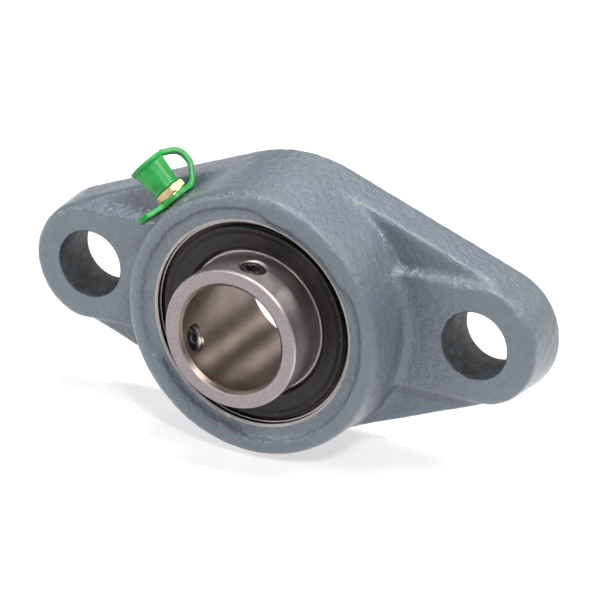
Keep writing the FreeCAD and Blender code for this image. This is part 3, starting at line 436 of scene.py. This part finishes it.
def castingBlank():
    # The rough casting has no bore or bolt holes yet: they are machined after it has weathered.
    whole = bmesh.new()
    whole.from_mesh(nodes["housing"].data)
    bmesh.ops.remove_doubles(whole, verts=list(whole.verts), dist=0.001 * mm)
    boreEnd = bearingY / mm - castingSet["mouthDepth"] - castingSet["bevel"][1] + 0.1
    plugs = [prismMesh(96, seatRadius + 1.6, -boreEnd, boreEnd)]
    armFront = castingSet["armFront"]
    for side in (-1, 1):
        plug = prismMesh(64, castingSet["boltRadius"] + 0.6, armFront - 0.05, -armFront)
        bmesh.ops.translate(plug, verts=list(plug.verts), vec=(side * castingSet["boltX"] * mm, 0, 0))
        plugs.append(plug)
    for plug in plugs:
        filling = looseObject("filling", plug)
        whole.from_mesh(filling.data)
        bpy.data.objects.remove(filling)
    blank = looseObject("casting", whole)
    padRadius, padTop = castingSet["nipplePad"]
    pad = turnedMesh([(0, -3), (padRadius, -3), (padRadius, padTop, 0.3), (0, padTop)], 48)
    cutWith(blank, [looseObject("pad", moved(pad, nipplePlace))], "UNION")
    return blank


def seatTool():
    # The bore from the back: the opening, the ball-shaped seat, the turned edge and the mouth.
    middle, half = bearingY / mm, castingSet["mouthDepth"]
    opening = castingSet["backOpening"]
    lean = math.degrees(math.asin(half / seatRadius))
    return turnedMesh([(0, 1), (opening, 1), (opening, 0)]
                      + arcCorners((0, middle), seatRadius, lean, -lean, 20)
                      + [(rimRadius, middle - half - castingSet["bevel"][1]), (rimRadius, middle * 2),
                         (0, middle * 2)], 144)


def grooveTool():
    depth, width = castingSet["groove"]
    front, back = bearingY / mm - width / 2, bearingY / mm + width / 2
    deep = seatRadius + depth
    return turnedMesh([(mouthRadius, front), (deep, front, 0.3), (deep, back, 0.3), (mouthRadius, back)])


def makeCasting():
    casting = castingBlank()
    remeshed(casting, castingSet["voxel"], castingSet["smoothing"])
    castSkin(casting)
    middle = bearingY / mm
    slotHalf = castingSet["slotHalfHeight"]
    loadingSlots = boxMesh((-seatRadius, middle, -slotHalf), (seatRadius, 1, slotHalf))
    halfWide, halfLong, height = castingSet["pinSlot"]
    pinSlot = boxMesh((-halfWide, middle - halfLong, -seatRadius - height),
                      (halfWide, middle + halfLong, -mouthRadius))
    nippleHole = moved(prismMesh(48, castingSet["nippleHole"], 9, -5), nipplePlace)
    tools = (seatTool(), grooveTool(), loadingSlots, pinSlot, nippleHole, boltTool(-1), boltTool(1))
    cutWith(casting, [looseObject("tool", tool) for tool in tools])
    finishPiece(casting, "castHousing", "housing_group",
                [paintedIron(), machinedIron()], ["housing"], 50, weighted=False)
    # Faces on the seat are bare metal, painted dark for oil and for the shade inside the mouth.
    for face in casting.data.polygons:
        onSeat = (face.center - bearingMiddle).length < (seatRadius + 0.05) * mm
        face.material_index = 1 if onSeat else 0


makeCasting()
print("casting done")


# Bearing rings.

ringSet = {
    "boreRadius": 12.5,
    "innerRadius": 17.0,
    "shoulder": 22.0,
    "pitchRadius": 19.5,
    "grooveRadius": 4.0,
    "boreChamfer": 1.0,
    "edgeChamfer": 0.45,
    "frontRadius": 16.6,      # ahead of the slinger
    "outerEdge": 0.35,
    "sealSeat": (22.9, 2.3),       # radius, and depth from the outer ring's face
    "slingerRoom": (23.9, 1.0),
    "pinHole": (1.15, 24.4, 270),   # radius, start from the shaft's axis, and angle
    "greaseHole": (0.6, 20.9, 20),
    "greaseAhead": 3.92,            # from the middle of the balls
    "softEdge": 0.12,
    "steel": (0.47, 0.43, 0.425, 1),
    "steelDark": (0.33, 0.295, 0.285, 1),
    "bore": (0.245, 0.196, 0.168, 1),
    "boreDark": (0.195, 0.152, 0.13, 1),
    "face": (0.39, 0.345, 0.35, 1),
    "faceDark": (0.26, 0.228, 0.234, 1),
    "outer": (0.44, 0.40, 0.39, 1),
    "outerDark": (0.30, 0.27, 0.26, 1),
    # the ring's inside, painted near black for grease and for the shade between the ring and the slinger
    "greaseAndShade": (0.030, 0.027, 0.026, 1),
}


def outerRingSteel():
    # Ground steel with very fine rings round the shaft, painted near black inside the front opening, for
    # grease and for the shade between the ring and the slinger.
    material, tree, shader = newMaterial("outerRingSteel", Metallic=1.0)
    point = objectPoint(tree)
    x, z = splitPoint(tree, point)[::2]
    rings = noiseOf(tree, turnedPoint(tree, point), 2600, 2, 0.6)
    cloud = noiseOf(tree, point, 120, 4, 0.6)
    mixed = mathOf(tree, "MULTIPLY", mathOf(tree, "ADD", rings, cloud), 0.5)
    colour = mixColour(tree, rangeOf(tree, mixed, 0.36, 0.62), ringSet["outerDark"], ringSet["outer"])
    room = ringSet["slingerRoom"][0]
    inside = rangeOf(tree, radiusOf(tree, x, z), (room - 0.02) * mm, (room + 0.05) * mm, 1.0, 0.0)
    colour = mixColour(tree, inside, colour, ringSet["greaseAndShade"])
    tree.links.new(colour, shader.inputs["Base Color"])
    tree.links.new(rangeOf(tree, rings, 0.3, 0.7, 0.25, 0.36), shader.inputs["Roughness"])
    tree.links.new(bumpOf(tree, rings, 0.02 * mm, 0.6), shader.inputs["Normal"])
    return material


# The inner ring steps down under its front slinger, so the slingers' sizes stand here.

slingerSet = {
    "front": 8.9,            # from the middle of the balls to the outer face
    "back": 8.2,
    "collarEnd": 7.4,
    "collarRadius": 17.6,
    "radius": 22.9,
    "dish": 0.28,
    "colour": (0.014, 0.0115, 0.0125, 1),
    "rubbed": (0.028, 0.024, 0.025, 1),
    "speck": (0.20, 0.18, 0.17, 1),
}


def grooveCorners(centre, radius, edge, outward):
    # The ball groove as an arc between the two shoulders, front to back, or back to front.
    half = math.degrees(math.acos(abs(edge - centre) / radius))
    middle = bearingY / mm
    if outward:
        return arcCorners((centre, middle), radius, half, -half, 16)
    return arcCorners((centre, middle), radius, 180 + half, 180 - half, 16)


def onRadius(degrees, height, start=0.0):
    # Turns a piece made along its own Y onto a line that runs out from the shaft.
    angle = math.radians(degrees)
    outward = Vector((math.cos(angle), 0, math.sin(angle)))
    turn = shaftAxis.rotation_difference(outward).to_matrix().to_4x4()
    return Matrix.Translation(Vector((0, height, 0)) + outward * start * mm) @ turn


def threadCorners(start, end, outer, inner, pitch):
    corners = []
    count = max(1, round((end - start) / pitch))
    step = (end - start) / count
    for turn in range(count):
        corners.append((outer, start + step * turn))
        corners.append((inner, start + step * (turn + 0.5)))
    corners.append((outer, end))
    return corners


screwSet = {
    "angles": (79, 199),
    "start": 12.8,          # shaft's axis to the screw's point
    "length": 3.55,
    "radius": 2.93,
    "thread": 0.32,
    "pitch": 0.8,
    "holeRadius": 3.0,
    "mouthRadius": 3.22,
    "key": 3.0,
    "keyDepth": 2.0,
    "colour": (0.022, 0.021, 0.020, 1),
    "worn": (0.13, 0.12, 0.11, 1),
}

screwLow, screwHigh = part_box("set_screw_1")
screwY = (screwLow.y + screwHigh.y) / 2


def screwHoleTool():
    hole, mouth = screwSet["holeRadius"], screwSet["mouthRadius"]
    rim = math.sqrt(ringSet["frontRadius"] ** 2 - mouth ** 2)
    sunk = rim - (mouth - hole)
    thread = threadCorners(ringSet["boreRadius"] - 0.6, sunk - 0.2, hole,
                           hole + screwSet["thread"], screwSet["pitch"])
    return turnedMesh([(0, thread[0][1])] + thread
                      + [(hole, sunk), (mouth + 1, rim + 1), (0, rim + 1)], 64)


def roundNormals(thing):
    # Cylinders are shaded truly round, so that the screw holes leave no creases in them.
    mesh = thing.data
    normals = [Vector(corner.vector) for corner in mesh.corner_normals]
    for face in mesh.polygons:
        rays = [Vector((mesh.vertices[vert].co.x, 0, mesh.vertices[vert].co.z)) for vert in face.vertices]
        lengths = [ray.length for ray in rays]
        if max(lengths) - min(lengths) > 0.005 * mm or abs(face.normal.y) > 0.1:
            continue
        for corner, ray in zip(face.loop_indices, rays):
            outward = ray.normalized()
            normals[corner] = outward if face.normal.dot(outward) > 0 else -outward
    mesh.normals_split_custom_set(normals)


def makeInnerRing():
    low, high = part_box("inner_ring")
    front, back = low.y / mm, high.y / mm
    bore, outside = ringSet["boreRadius"], ringSet["innerRadius"]
    chamfer, edge, soft = ringSet["boreChamfer"], ringSet["edgeChamfer"], ringSet["softEdge"]
    slim, slimEnd = ringSet["frontRadius"], bearingY / mm - slingerSet["front"] + 1.2
    groove = grooveCorners(ringSet["pitchRadius"], ringSet["grooveRadius"], outside, False)
    mesh = turnedMesh([(bore, back - chamfer, soft), (bore, front + chamfer, soft),
                       (bore + chamfer, front, soft), (slim - edge, front, soft),
                       (slim, front + edge, soft), (slim, slimEnd, 0.1), (outside, slimEnd)] + groove
                      + [(outside, back - edge, soft), (outside - edge, back, soft),
                         (bore + chamfer, back, soft)], 144)
    ring = looseObject("innerRing", mesh)
    holes = [looseObject("hole", moved(screwHoleTool(), onRadius(angle, screwY)))
             for angle in screwSet["angles"]]
    cutWith(ring, holes)
    finishPiece(ring, "innerRing", "inner_ring_group", [innerRingSteel()],
                ["inner_ring"], 30, weighted=False)
    roundNormals(ring)


def innerRingSteel():
    # The end faces are ground matt, the outside is polished and the bore is honed and browner.
    material, tree, shader = newMaterial("ringSteel", Metallic=1.0)
    point = objectPoint(tree)
    x, y, z = splitPoint(tree, point)
    radius = radiusOf(tree, x, z)
    turned = turnedPoint(tree, point)
    fine = noiseOf(tree, turned, 20000, 1, 0.5)
    wide = noiseOf(tree, turned, 260, 2, 0.5)
    cloud = noiseOf(tree, point, 150, 5, 0.65)
    grit = noiseOf(tree, point, 2600, 3, 0.7)
    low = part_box("inner_ring")[0].y
    isFace = rangeOf(tree, y, low + 0.03 * mm, low + 0.12 * mm, 1.0, 0.0)
    boreEdge = (ringSet["boreRadius"] + 0.9) * mm
    isBore = rangeOf(tree, radius, boreEdge - 0.2 * mm, boreEdge, 1.0, 0.0)
    dappled = rangeOf(tree, cloud, 0.35, 0.68)
    outside = mixColour(tree, dappled, ringSet["steel"], ringSet["steelDark"])
    inside = mixColour(tree, dappled, ringSet["bore"], ringSet["boreDark"])
    colour = mixColour(tree, isBore, outside, inside)
    faceColour = mixColour(tree, rangeOf(tree, grit, 0.35, 0.65), ringSet["face"], ringSet["faceDark"])
    colour = mixColour(tree, isFace, colour, faceColour)
    tree.links.new(colour, shader.inputs["Base Color"])
    rough = rangeOf(tree, wide, 0.3, 0.7, 0.34, 0.40)
    rough = mathOf(tree, "ADD", rough, mathOf(tree, "MULTIPLY", isFace, 0.22))
    rough = mathOf(tree, "ADD", rough, mathOf(tree, "MULTIPLY", isBore, 0.02))
    tree.links.new(rough, shader.inputs["Roughness"])
    depth = mathOf(tree, "MULTIPLY", fine, rangeOf(tree, isBore, 0, 1, 1.0, 0.2))
    bump = bumpOf(tree, depth, 0.045 * mm, 1.0)
    bump = bumpOf(tree, wide, 0.012 * mm, 0.5, bump)
    tree.links.new(bump, shader.inputs["Normal"])
    return material


def makeOuterRing():
    edge, shoulder = ringSet["outerEdge"], ringSet["shoulder"]
    sealRadius, sealDepth = ringSet["sealSeat"]
    roomRadius, roomDepth = ringSet["slingerRoom"]
    middle = bearingY / mm
    half = (ringHigh.y - ringLow.y) / 2 / mm
    ball = ringHigh.x / mm
    lean = math.degrees(math.asin((half - edge) / ball))
    rim = math.sqrt(ball ** 2 - (half - edge) ** 2) - edge
    outside = arcCorners((0, middle), ball, lean, -lean, 24)
    groove = grooveCorners(ringSet["pitchRadius"], ringSet["grooveRadius"], shoulder, True)
    front = [(rim, middle - half, 0.1), (roomRadius, middle - half, 0.08),
             (roomRadius, middle - half + roomDepth), (sealRadius, middle - half + roomDepth),
             (sealRadius, middle - half + sealDepth), (shoulder, middle - half + sealDepth)]
    rear = [(corner[0], 2 * middle - corner[1], *corner[2:]) for corner in reversed(front)]
    mesh = turnedMesh(outside + front + list(reversed(groove)) + rear, 144)
    ring = looseObject("outerRing", mesh)
    radius, start, angle = ringSet["pinHole"]
    pinHole = moved(prismMesh(32, radius, ball, start), onRadius(angle, bearingY))
    radius, start, angle = ringSet["greaseHole"]
    greaseY = bearingY - ringSet["greaseAhead"] * mm
    greaseHole = moved(prismMesh(24, radius, ball, start), onRadius(angle, greaseY))
    cutWith(ring, [looseObject("hole", pinHole), looseObject("hole", greaseHole)])
    finishPiece(ring, "outerRing", "outer_ring_group", [outerRingSteel()],
                ["outer_ring"], 30)


makeInnerRing()
makeOuterRing()
print("rings done")


# Slingers, pressed from thin sheet, one at each end of the bearing.


def slingerSteel():
    material, tree, shader = newMaterial("slingerCoating", Metallic=0.75, Coat_Weight=0.1,
                                         Coat_Roughness=0.3)
    point = objectPoint(tree)
    rings = noiseOf(tree, turnedPoint(tree, point), 900, 3, 0.6)
    cloud = noiseOf(tree, point, 90, 4, 0.6)
    specks = noiseOf(tree, point, 1500, 2, 0.5)
    mixed = mathOf(tree, "MULTIPLY", mathOf(tree, "ADD", rings, cloud), 0.5)
    colour = mixColour(tree, rangeOf(tree, mixed, 0.38, 0.64), slingerSet["colour"], slingerSet["rubbed"])
    colour = mixColour(tree, rangeOf(tree, specks, 0.70, 0.78), colour, slingerSet["speck"])
    tree.links.new(colour, shader.inputs["Base Color"])
    tree.links.new(rangeOf(tree, cloud, 0.3, 0.7, 0.34, 0.46), shader.inputs["Roughness"])
    bump = bumpOf(tree, rings, 0.03 * mm, 0.4)
    tree.links.new(bumpOf(tree, specks, 0.02 * mm, 0.4, bump), shader.inputs["Normal"])
    return material


def makeSlinger(name, side, replaced, material):
    bore, collar = ringSet["innerRadius"], slingerSet["collarRadius"]
    front, back, dish = slingerSet["front"], slingerSet["back"], slingerSet["dish"]
    outer = slingerSet["radius"]
    middle = bearingY / mm
    shape = [(bore, slingerSet["collarEnd"]), (collar, slingerSet["collarEnd"], 0.1),
             (collar, back - 0.35, 0.15), (collar + 0.6, back - 0.05, 0.2),
             (outer - 0.5, back, 0.1), (outer, back + 0.1, 0.15),
             (outer, front, 0.28), (outer - 0.9, front - 0.02, 0.3), (outer - 1.5, front - dish, 0.5),
             (bore + 0.8, front - dish, 0.3), (bore + 0.4, front - 0.8, 0.1), (bore + 0.3, front - 1.3),
             (bore, front - 1.3)]
    mesh = turnedMesh([(corner[0], middle + side * corner[1], *corner[2:]) for corner in shape], 128)
    slinger = looseObject(name, mesh)
    finishPiece(slinger, name, "inner_ring_group", [material], [replaced], 40)


def makeSlingers():
    material = slingerSteel()
    makeSlinger("frontSlinger", -1, "front_slinger", material)
    makeSlinger("rearSlinger", 1, "rear_slinger", material)


makeSlingers()
print("slingers done")


# Set screws with a hexagon socket and a cup point.


def blackenedSteel():
    material, tree, shader = newMaterial("blackenedSteel", Metallic=0.8, Coat_Weight=0.35,
                                         Coat_Roughness=0.2)
    point = objectPoint(tree)
    worn = rangeOf(tree, noiseOf(tree, point, 700, 4, 0.65), 0.55, 0.75)
    edges = addNode(tree, "ShaderNodeNewGeometry").outputs["Pointiness"]
    worn = mathOf(tree, "MAXIMUM", worn, rangeOf(tree, edges, 0.53, 0.6))
    tree.links.new(mixColour(tree, worn, screwSet["colour"], screwSet["worn"]), shader.inputs["Base Color"])
    tree.links.new(rangeOf(tree, worn, 0, 1, 0.38, 0.28), shader.inputs["Roughness"])
    tree.links.new(bumpOf(tree, noiseOf(tree, point, 2200, 2), 0.015 * mm, 0.6), shader.inputs["Normal"])
    return material


def makeSetScrews():
    material = blackenedSteel()
    radius, length = screwSet["radius"], screwSet["length"]
    root = radius - screwSet["thread"]
    thread = threadCorners(0.9, length - 0.35, radius, root, screwSet["pitch"])
    across = screwSet["key"] / 2 / math.cos(math.pi / 6)
    depth = screwSet["keyDepth"]
    for number, angle in enumerate(screwSet["angles"], 1):
        body = [(0, 0.55), (1.35, 0, 0.1)] + thread + [(root + 0.05, length, 0.08), (0, length)]
        screw = looseObject("screw", turnedMesh(body, 64))
        socket = looseObject("socket", prismMesh(6, across, depth + 1, length - depth))
        drillPoint = looseObject("drill", turnedMesh(
            [(0, length - depth - 0.5), (across * 0.8, length - depth), (across * 0.8, length),
             (across, length - 0.25), (across + 0.5, length + 0.25), (0, length + 0.25)], 48))
        cutWith(screw, [socket, drillPoint])
        screw.data.transform(onRadius(angle, screwY, screwSet["start"]))
        finishPiece(screw, f"setScrew{number}", f"set_screw_{number}", [material],
                    [f"set_screw_{number}"], 32)


makeSetScrews()
print("set screws done")


# Grease nipple, its cap and the cap's strap, along a line that leans left of straight up.

nippleSet = {
    "passage": 1.2,
    "thread": (2.95, 2.6, 0.9),   # outside, root and pitch
    "threadEnd": -4.5,
    "hex": (7.0, 1.7, 3.4),   # across flats, and where it starts and ends
    "neck": 1.9,
    "head": 2.75,
    "tip": (1.7, 9.2),
    "mouth": 0.9,
    "plating": (0.62, 0.46, 0.20, 1),
    "platingPale": (0.80, 0.70, 0.42, 1),
}


def yellowPlating():
    material, tree, shader = newMaterial("yellowPlating", Metallic=0.85, Coat_Weight=0.3,
                                         Coat_Roughness=0.15)
    point = objectPoint(tree)
    cloud = rangeOf(tree, noiseOf(tree, point, 420, 4, 0.6), 0.35, 0.65)
    tree.links.new(mixColour(tree, cloud, nippleSet["plating"], nippleSet["platingPale"]),
                   shader.inputs["Base Color"])
    tree.links.new(rangeOf(tree, cloud, 0, 1, 0.3, 0.42), shader.inputs["Roughness"])
    tree.links.new(bumpOf(tree, noiseOf(tree, point, 1900, 3), 0.02 * mm, 0.5), shader.inputs["Normal"])
    return material


def makeNipple():
    across, hexStart, hexEnd = nippleSet["hex"]
    outside, root, pitch = nippleSet["thread"]
    tipRadius, tip = nippleSet["tip"]
    head, neck, mouth, passage = (nippleSet[key] for key in ("head", "neck", "mouth", "passage"))
    thread = threadCorners(nippleSet["threadEnd"] + 0.35, 0.4, outside, root, pitch)
    stem = turnedMesh([(passage, nippleSet["threadEnd"]), (root, nippleSet["threadEnd"])] + thread
                      + [(outside, hexEnd, 0.1), (neck, hexEnd + 0.4, 0.2), (neck, hexEnd + 1, 0.2),
                         (head, hexEnd + 3.48, 0.3), (head, hexEnd + 4.28, 0.3), (tipRadius, tip, 0.2),
                         (mouth, tip, 0.1), (mouth, tip - 0.4), (passage, tip - 0.7)], 64)
    nipple = looseObject("nipple", stem)
    corner = across / 2 / math.cos(math.pi / 6)
    hexagon = looseObject("hexagon", prismMesh(6, corner, hexEnd - hexStart, hexStart))
    facing = across / 2 + 0.05
    blank = looseObject("blank", turnedMesh(
        [(outside - 0.5, hexStart), (facing, hexStart, 0.05), (corner + 0.05, hexStart + 0.35),
         (corner + 0.05, hexEnd - 0.35), (facing, hexEnd, 0.05), (outside - 0.5, hexEnd)], 64))
    cutWith(hexagon, [blank], "INTERSECT")
    cutWith(nipple, [hexagon], "UNION")
    nipple.data.transform(nipplePlace)
    finishPiece(nipple, "greaseNipple", "housing_group", [yellowPlating()],
                ["grease_nipple"], 32)


makeNipple()
print("nipple done")


capSet = {
    "start": 3.5,
    "end": 11.3,
    "inside": 2.85,
    "roof": 9.4,
    "baseRadius": 3.35,
    "endRadius": 4.15,
    "rim": (4.45, 0.9),        # radius and thickness of the rim at the closed end
    "colour": (0.004, 0.190, 0.030, 1),
    "pale": (0.020, 0.340, 0.060, 1),
}

strapSet = {
    "width": 2.6,
    "thickness": 1.3,
    "eyelet": (4.45, 3.1),     # outside and hole radius
    "middle": 0.72,           # nipple's base to the middle of the eyelet's sheet
    "tabEnd": 10.2,
    "lift": 0.035,            # how the tab curls up off the round boss
    "footAt": 3.55,
    "voxel": 0.17,
    "smoothing": 12,
    # The loop as it leaves the eyelet: bends as (radius, turn in degrees), and straights in mm.
    "loop": [("bend", 2.9, 56), ("straight", 2.9), ("bend", 2.6, 34), ("straight", 0.9),
             ("bend", 3.5, 62), ("straight", 2.6)],
}


def softPlastic():
    material, tree, shader = newMaterial("softGreenPlastic", IOR=1.45, Subsurface_Weight=0.25,
                                         Subsurface_Scale=0.001, Subsurface_Radius=(0.15, 1.0, 0.25))
    point = objectPoint(tree)
    cloud = rangeOf(tree, noiseOf(tree, point, 260, 3, 0.55), 0.35, 0.65)
    tree.links.new(mixColour(tree, cloud, capSet["colour"], capSet["pale"]), shader.inputs["Base Color"])
    tree.links.new(rangeOf(tree, cloud, 0, 1, 0.34, 0.46), shader.inputs["Roughness"])
    bump = bumpOf(tree, noiseOf(tree, point, 520, 2), 0.06 * mm, 0.5)
    bump = bumpOf(tree, noiseOf(tree, point, 2600, 2), 0.015 * mm, 0.5, bump)
    tree.links.new(bump, shader.inputs["Normal"])
    return material


def makeCap(material):
    start, end, inside, roof = (capSet[key] for key in ("start", "end", "inside", "roof"))
    base = capSet["baseRadius"]
    rim, rimDepth = capSet["rim"]
    mesh = turnedMesh([(0, end - 0.25), (2.2, end - 0.2, 0.4), (2.7, end, 0.2), (rim, end, 0.3),
                       (rim - 0.1, end - rimDepth, 0.25),
                       (capSet["endRadius"] - 0.15, end - rimDepth - 0.3, 0.3),
                       (base, start + 0.9, 0.2), (base + 0.15, start + 0.6, 0.2),
                       (base + 0.15, start, 0.25), (inside, start, 0.2), (inside, roof, 0.5),
                       (0, roof)], 72)
    cap = looseObject("cap", mesh)
    cap.data.transform(nipplePlace)
    finishPiece(cap, "nippleCap", "nipple_cap", [material], ["nipple_cap"], 45)


def makeStrap(material):
    width, thick = strapSet["width"], strapSet["thickness"]
    outside, hole = strapSet["eyelet"]
    middle, tabEnd = strapSet["middle"], strapSet["tabEnd"]
    strap = looseObject("strap", prismMesh(64, outside, thick, middle - thick / 2))
    tabMiddle = tabEnd - width
    tab = boxMesh((-tabMiddle, middle - thick / 2, -width), (0, middle + thick / 2, width))
    tabRound = prismMesh(48, width, thick, middle - thick / 2)
    bmesh.ops.translate(tabRound, verts=list(tabRound.verts), vec=(-tabMiddle * mm, 0, 0))
    # A cross-section face is pushed along the loop, bend by bend.
    loop = boxMesh((strapSet["footAt"] - 1.5, middle - thick / 2, -width / 2),
                   (strapSet["footAt"], middle + thick / 2, width / 2))
    heading = Vector((1, 0, 0))
    place = Vector((strapSet["footAt"], middle, 0)) * mm
    front = [face for face in loop.faces if face.normal.x > 0.9]
    for part in strapSet["loop"]:
        if part[0] == "straight":
            made = bmesh.ops.extrude_face_region(loop, geom=front)["geom"]
            bmesh.ops.delete(loop, geom=front, context="FACES_ONLY")
            verts = [item for item in made if isinstance(item, bmesh.types.BMVert)]
            front = [item for item in made if isinstance(item, bmesh.types.BMFace)]
            bmesh.ops.translate(loop, verts=verts, vec=heading * part[1] * mm)
            place += heading * part[1] * mm
            continue
        radius, turn = part[1] * mm, math.radians(part[2])
        side = Vector((-heading.y, heading.x, 0))
        centre = place + side * radius
        steps = max(3, round(part[2] / 4))
        old = list(front)
        made = bmesh.ops.spin(loop, geom=front, cent=centre, axis=(0, 0, 1), angle=turn, steps=steps,
                              use_duplicate=False)["geom_last"]
        front = [item for item in made if isinstance(item, bmesh.types.BMFace)]
        gone = [face for face in old if face.is_valid and face not in front]
        bmesh.ops.delete(loop, geom=gone, context="FACES_ONLY")
        heading = Matrix.Rotation(turn, 3, "Z") @ heading
        place = centre - Vector((-heading.y, heading.x, 0)) * radius
    bmesh.ops.remove_doubles(loop, verts=list(loop.verts), dist=0.001 * mm)
    bmesh.ops.recalc_face_normals(loop, faces=list(loop.faces))
    parts = [looseObject("strapPart", part) for part in (tab, tabRound, loop)]
    cutWith(strap, parts, "UNION")
    cutWith(strap, [looseObject("strapHole", prismMesh(48, hole, thick * 3, middle - thick * 1.5))])
    remeshed(strap, strapSet["voxel"], strapSet["smoothing"])
    for vert in strap.data.vertices:
        if vert.co.x < 0:
            vert.co.y += strapSet["lift"] * (-vert.co.x / mm) ** 1.5 * mm
    strap.data.transform(nipplePlace)
    finishPiece(strap, "capStrap", None, [material], ["cap_strap"], 80, weighted=False)
    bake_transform(strap)


def makeCapAndStrap():
    material = softPlastic()
    makeCap(material)
    makeStrap(material)


makeCapAndStrap()
print("cap and strap done")


# Inner pieces keep their CAD shape and take a finish of their own.

innerSet = {
    # light steel, dark steel and roughness
    "balls": ((0.72, 0.71, 0.71, 1), (0.62, 0.61, 0.61, 1), 0.05),
    "cage": ((0.52, 0.50, 0.48, 1), (0.40, 0.38, 0.36, 1), 0.30),
    "sealPlate": ((0.30, 0.29, 0.28, 1), (0.20, 0.19, 0.19, 1), 0.38),
    "wire": ((0.50, 0.49, 0.48, 1), (0.38, 0.37, 0.36, 1), 0.22),
    "pin": ((0.58, 0.57, 0.56, 1), (0.46, 0.45, 0.44, 1), 0.2),
    "rubber": (0.030, 0.029, 0.029, 1),
    "rubberDark": (0.011, 0.011, 0.012, 1),
}


def sheetSteel(name, light, dark, rough):
    material, tree, shader = newMaterial(name, Metallic=1.0)
    point = objectPoint(tree)
    cloud = rangeOf(tree, noiseOf(tree, point, 300, 5, 0.65), 0.35, 0.65)
    scratches = noiseOf(tree, point, 2400, 2, 0.7)
    tree.links.new(mixColour(tree, cloud, dark, light), shader.inputs["Base Color"])
    tree.links.new(rangeOf(tree, scratches, 0.3, 0.7, rough, rough + 0.14), shader.inputs["Roughness"])
    tree.links.new(bumpOf(tree, scratches, 0.012 * mm, 0.5), shader.inputs["Normal"])
    return material


def nitrileRubber():
    material, tree, shader = newMaterial("nitrileRubber", Specular_IOR_Level=0.35)
    point = objectPoint(tree)
    grain = noiseOf(tree, point, 1800, 4, 0.6)
    colour = mixColour(tree, rangeOf(tree, grain, 0.3, 0.7), innerSet["rubberDark"], innerSet["rubber"])
    tree.links.new(colour, shader.inputs["Base Color"])
    tree.links.new(rangeOf(tree, grain, 0.3, 0.7, 0.5, 0.68), shader.inputs["Roughness"])
    tree.links.new(bumpOf(tree, grain, 0.02 * mm, 0.5), shader.inputs["Normal"])
    return material


def makeSpring(material):
    # A copy of the nipple's spring, which in the real nipple shortens as the ball is pushed in.
    mesh = bmesh.new()
    mesh.from_mesh(nodes["nipple_spring"].data)
    bmesh.ops.remove_doubles(mesh, verts=list(mesh.verts), dist=0.0001 * mm)
    spring = looseObject("spring", mesh)
    finishPiece(spring, "nippleSpring", None, [material], ["nipple_spring"], 80)
    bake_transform(spring)


def finishInnerPieces():
    balls = sheetSteel("polishedBalls", *innerSet["balls"])
    cage = sheetSteel("cageSheet", *innerSet["cage"])
    plate = sheetSteel("sealPlate", *innerSet["sealPlate"])
    wire = sheetSteel("springWire", *innerSet["wire"])
    pin = sheetSteel("groundPin", *innerSet["pin"])
    rubber = nitrileRubber()
    finishes = {"ball_": balls, "nipple_ball": balls, "cage_": cage, "front_seal_plate": plate,
                "rear_seal_plate": plate, "front_seal_lip": rubber, "rear_seal_lip": rubber,
                "anti_rotation_pin": pin}
    for name, node in nodes.items():
        for start, material in finishes.items():
            if name.startswith(start):
                for slot in node.material_slots:
                    slot.material = material
    makeSpring(wire)


finishInnerPieces()
print("inner pieces done")


# Floor and light.

studioSet = {
    "floor": (0.40, 0.40, 0.40, 1),
    "floorRoughness": 0.9,
    "floorGlow": 0.62,
    "worldLow": (0.45, 0.45, 0.475, 1),
    "worldHigh": (0.10, 0.10, 0.11, 1),
    "worldStrength": 0.6,
    "lights": [
        # name, place in m, power in W, size in m, colour
        ("keyLight", (0.72, -0.95, 1.15), 17, 0.2, (1.0, 0.985, 0.97)),
        ("sideLight", (-1.0, -0.9, 0.6), 9.5, 0.5, (0.97, 0.985, 1.0)),
        ("topLight", (0.0, 0.1, 1.25), 14.5, 0.5, (1.0, 1.0, 1.0)),
        ("rearLight", (0.62, 1.15, 0.66), 1.9, 0.3, (1.0, 0.99, 0.98)),
        ("rearFill", (-0.38, 1.2, 0.98), 2.8, 0.55, (1.0, 0.99, 0.98)),
        ("ringLight", (0.86, 0.24, 0.88), 7.0, 0.2, (1.0, 0.99, 0.98)),
    ],
}


def makeFloor():
    mesh = bmesh.new()
    bmesh.ops.create_grid(mesh, x_segments=1, y_segments=1, size=5)
    bmesh.ops.translate(mesh, verts=list(mesh.verts), vec=(0, 0, cadBox[0].z - 0.02 * mm))
    floor = looseObject("paleFloor", mesh)
    paper = newMaterial("palePaper", Base_Color=studioSet["floor"], Roughness=studioSet["floorRoughness"],
                        Emission_Strength=studioSet["floorGlow"])[0]
    floor.data.materials.append(paper)


def makeLights():
    for name, place, power, size, colour in studioSet["lights"]:
        data = bpy.data.lights.new(name, "AREA")
        data.energy = power
        data.size = size
        data.color = colour
        light = bpy.data.objects.new(name, data)
        light.location = place
        light.rotation_euler = (-Vector(place)).to_track_quat("-Z", "Y").to_euler()
        scene.collection.objects.link(light)
    world = bpy.data.worlds.new("studioWorld")
    scene.world = world
    world.use_nodes = True
    tree = world.node_tree
    background = tree.nodes["Background"]
    point = addNode(tree, "ShaderNodeTexCoord").outputs["Generated"]
    height = splitPoint(tree, point)[2]
    colour = mixColour(tree, rangeOf(tree, height, 0.0, 0.8), studioSet["worldLow"], studioSet["worldHigh"])
    tree.links.new(colour, background.inputs["Color"])
    background.inputs["Strength"].default_value = studioSet["worldStrength"]


makeFloor()
makeLights()
scene.view_settings.view_transform = "Standard"
print("studio set")
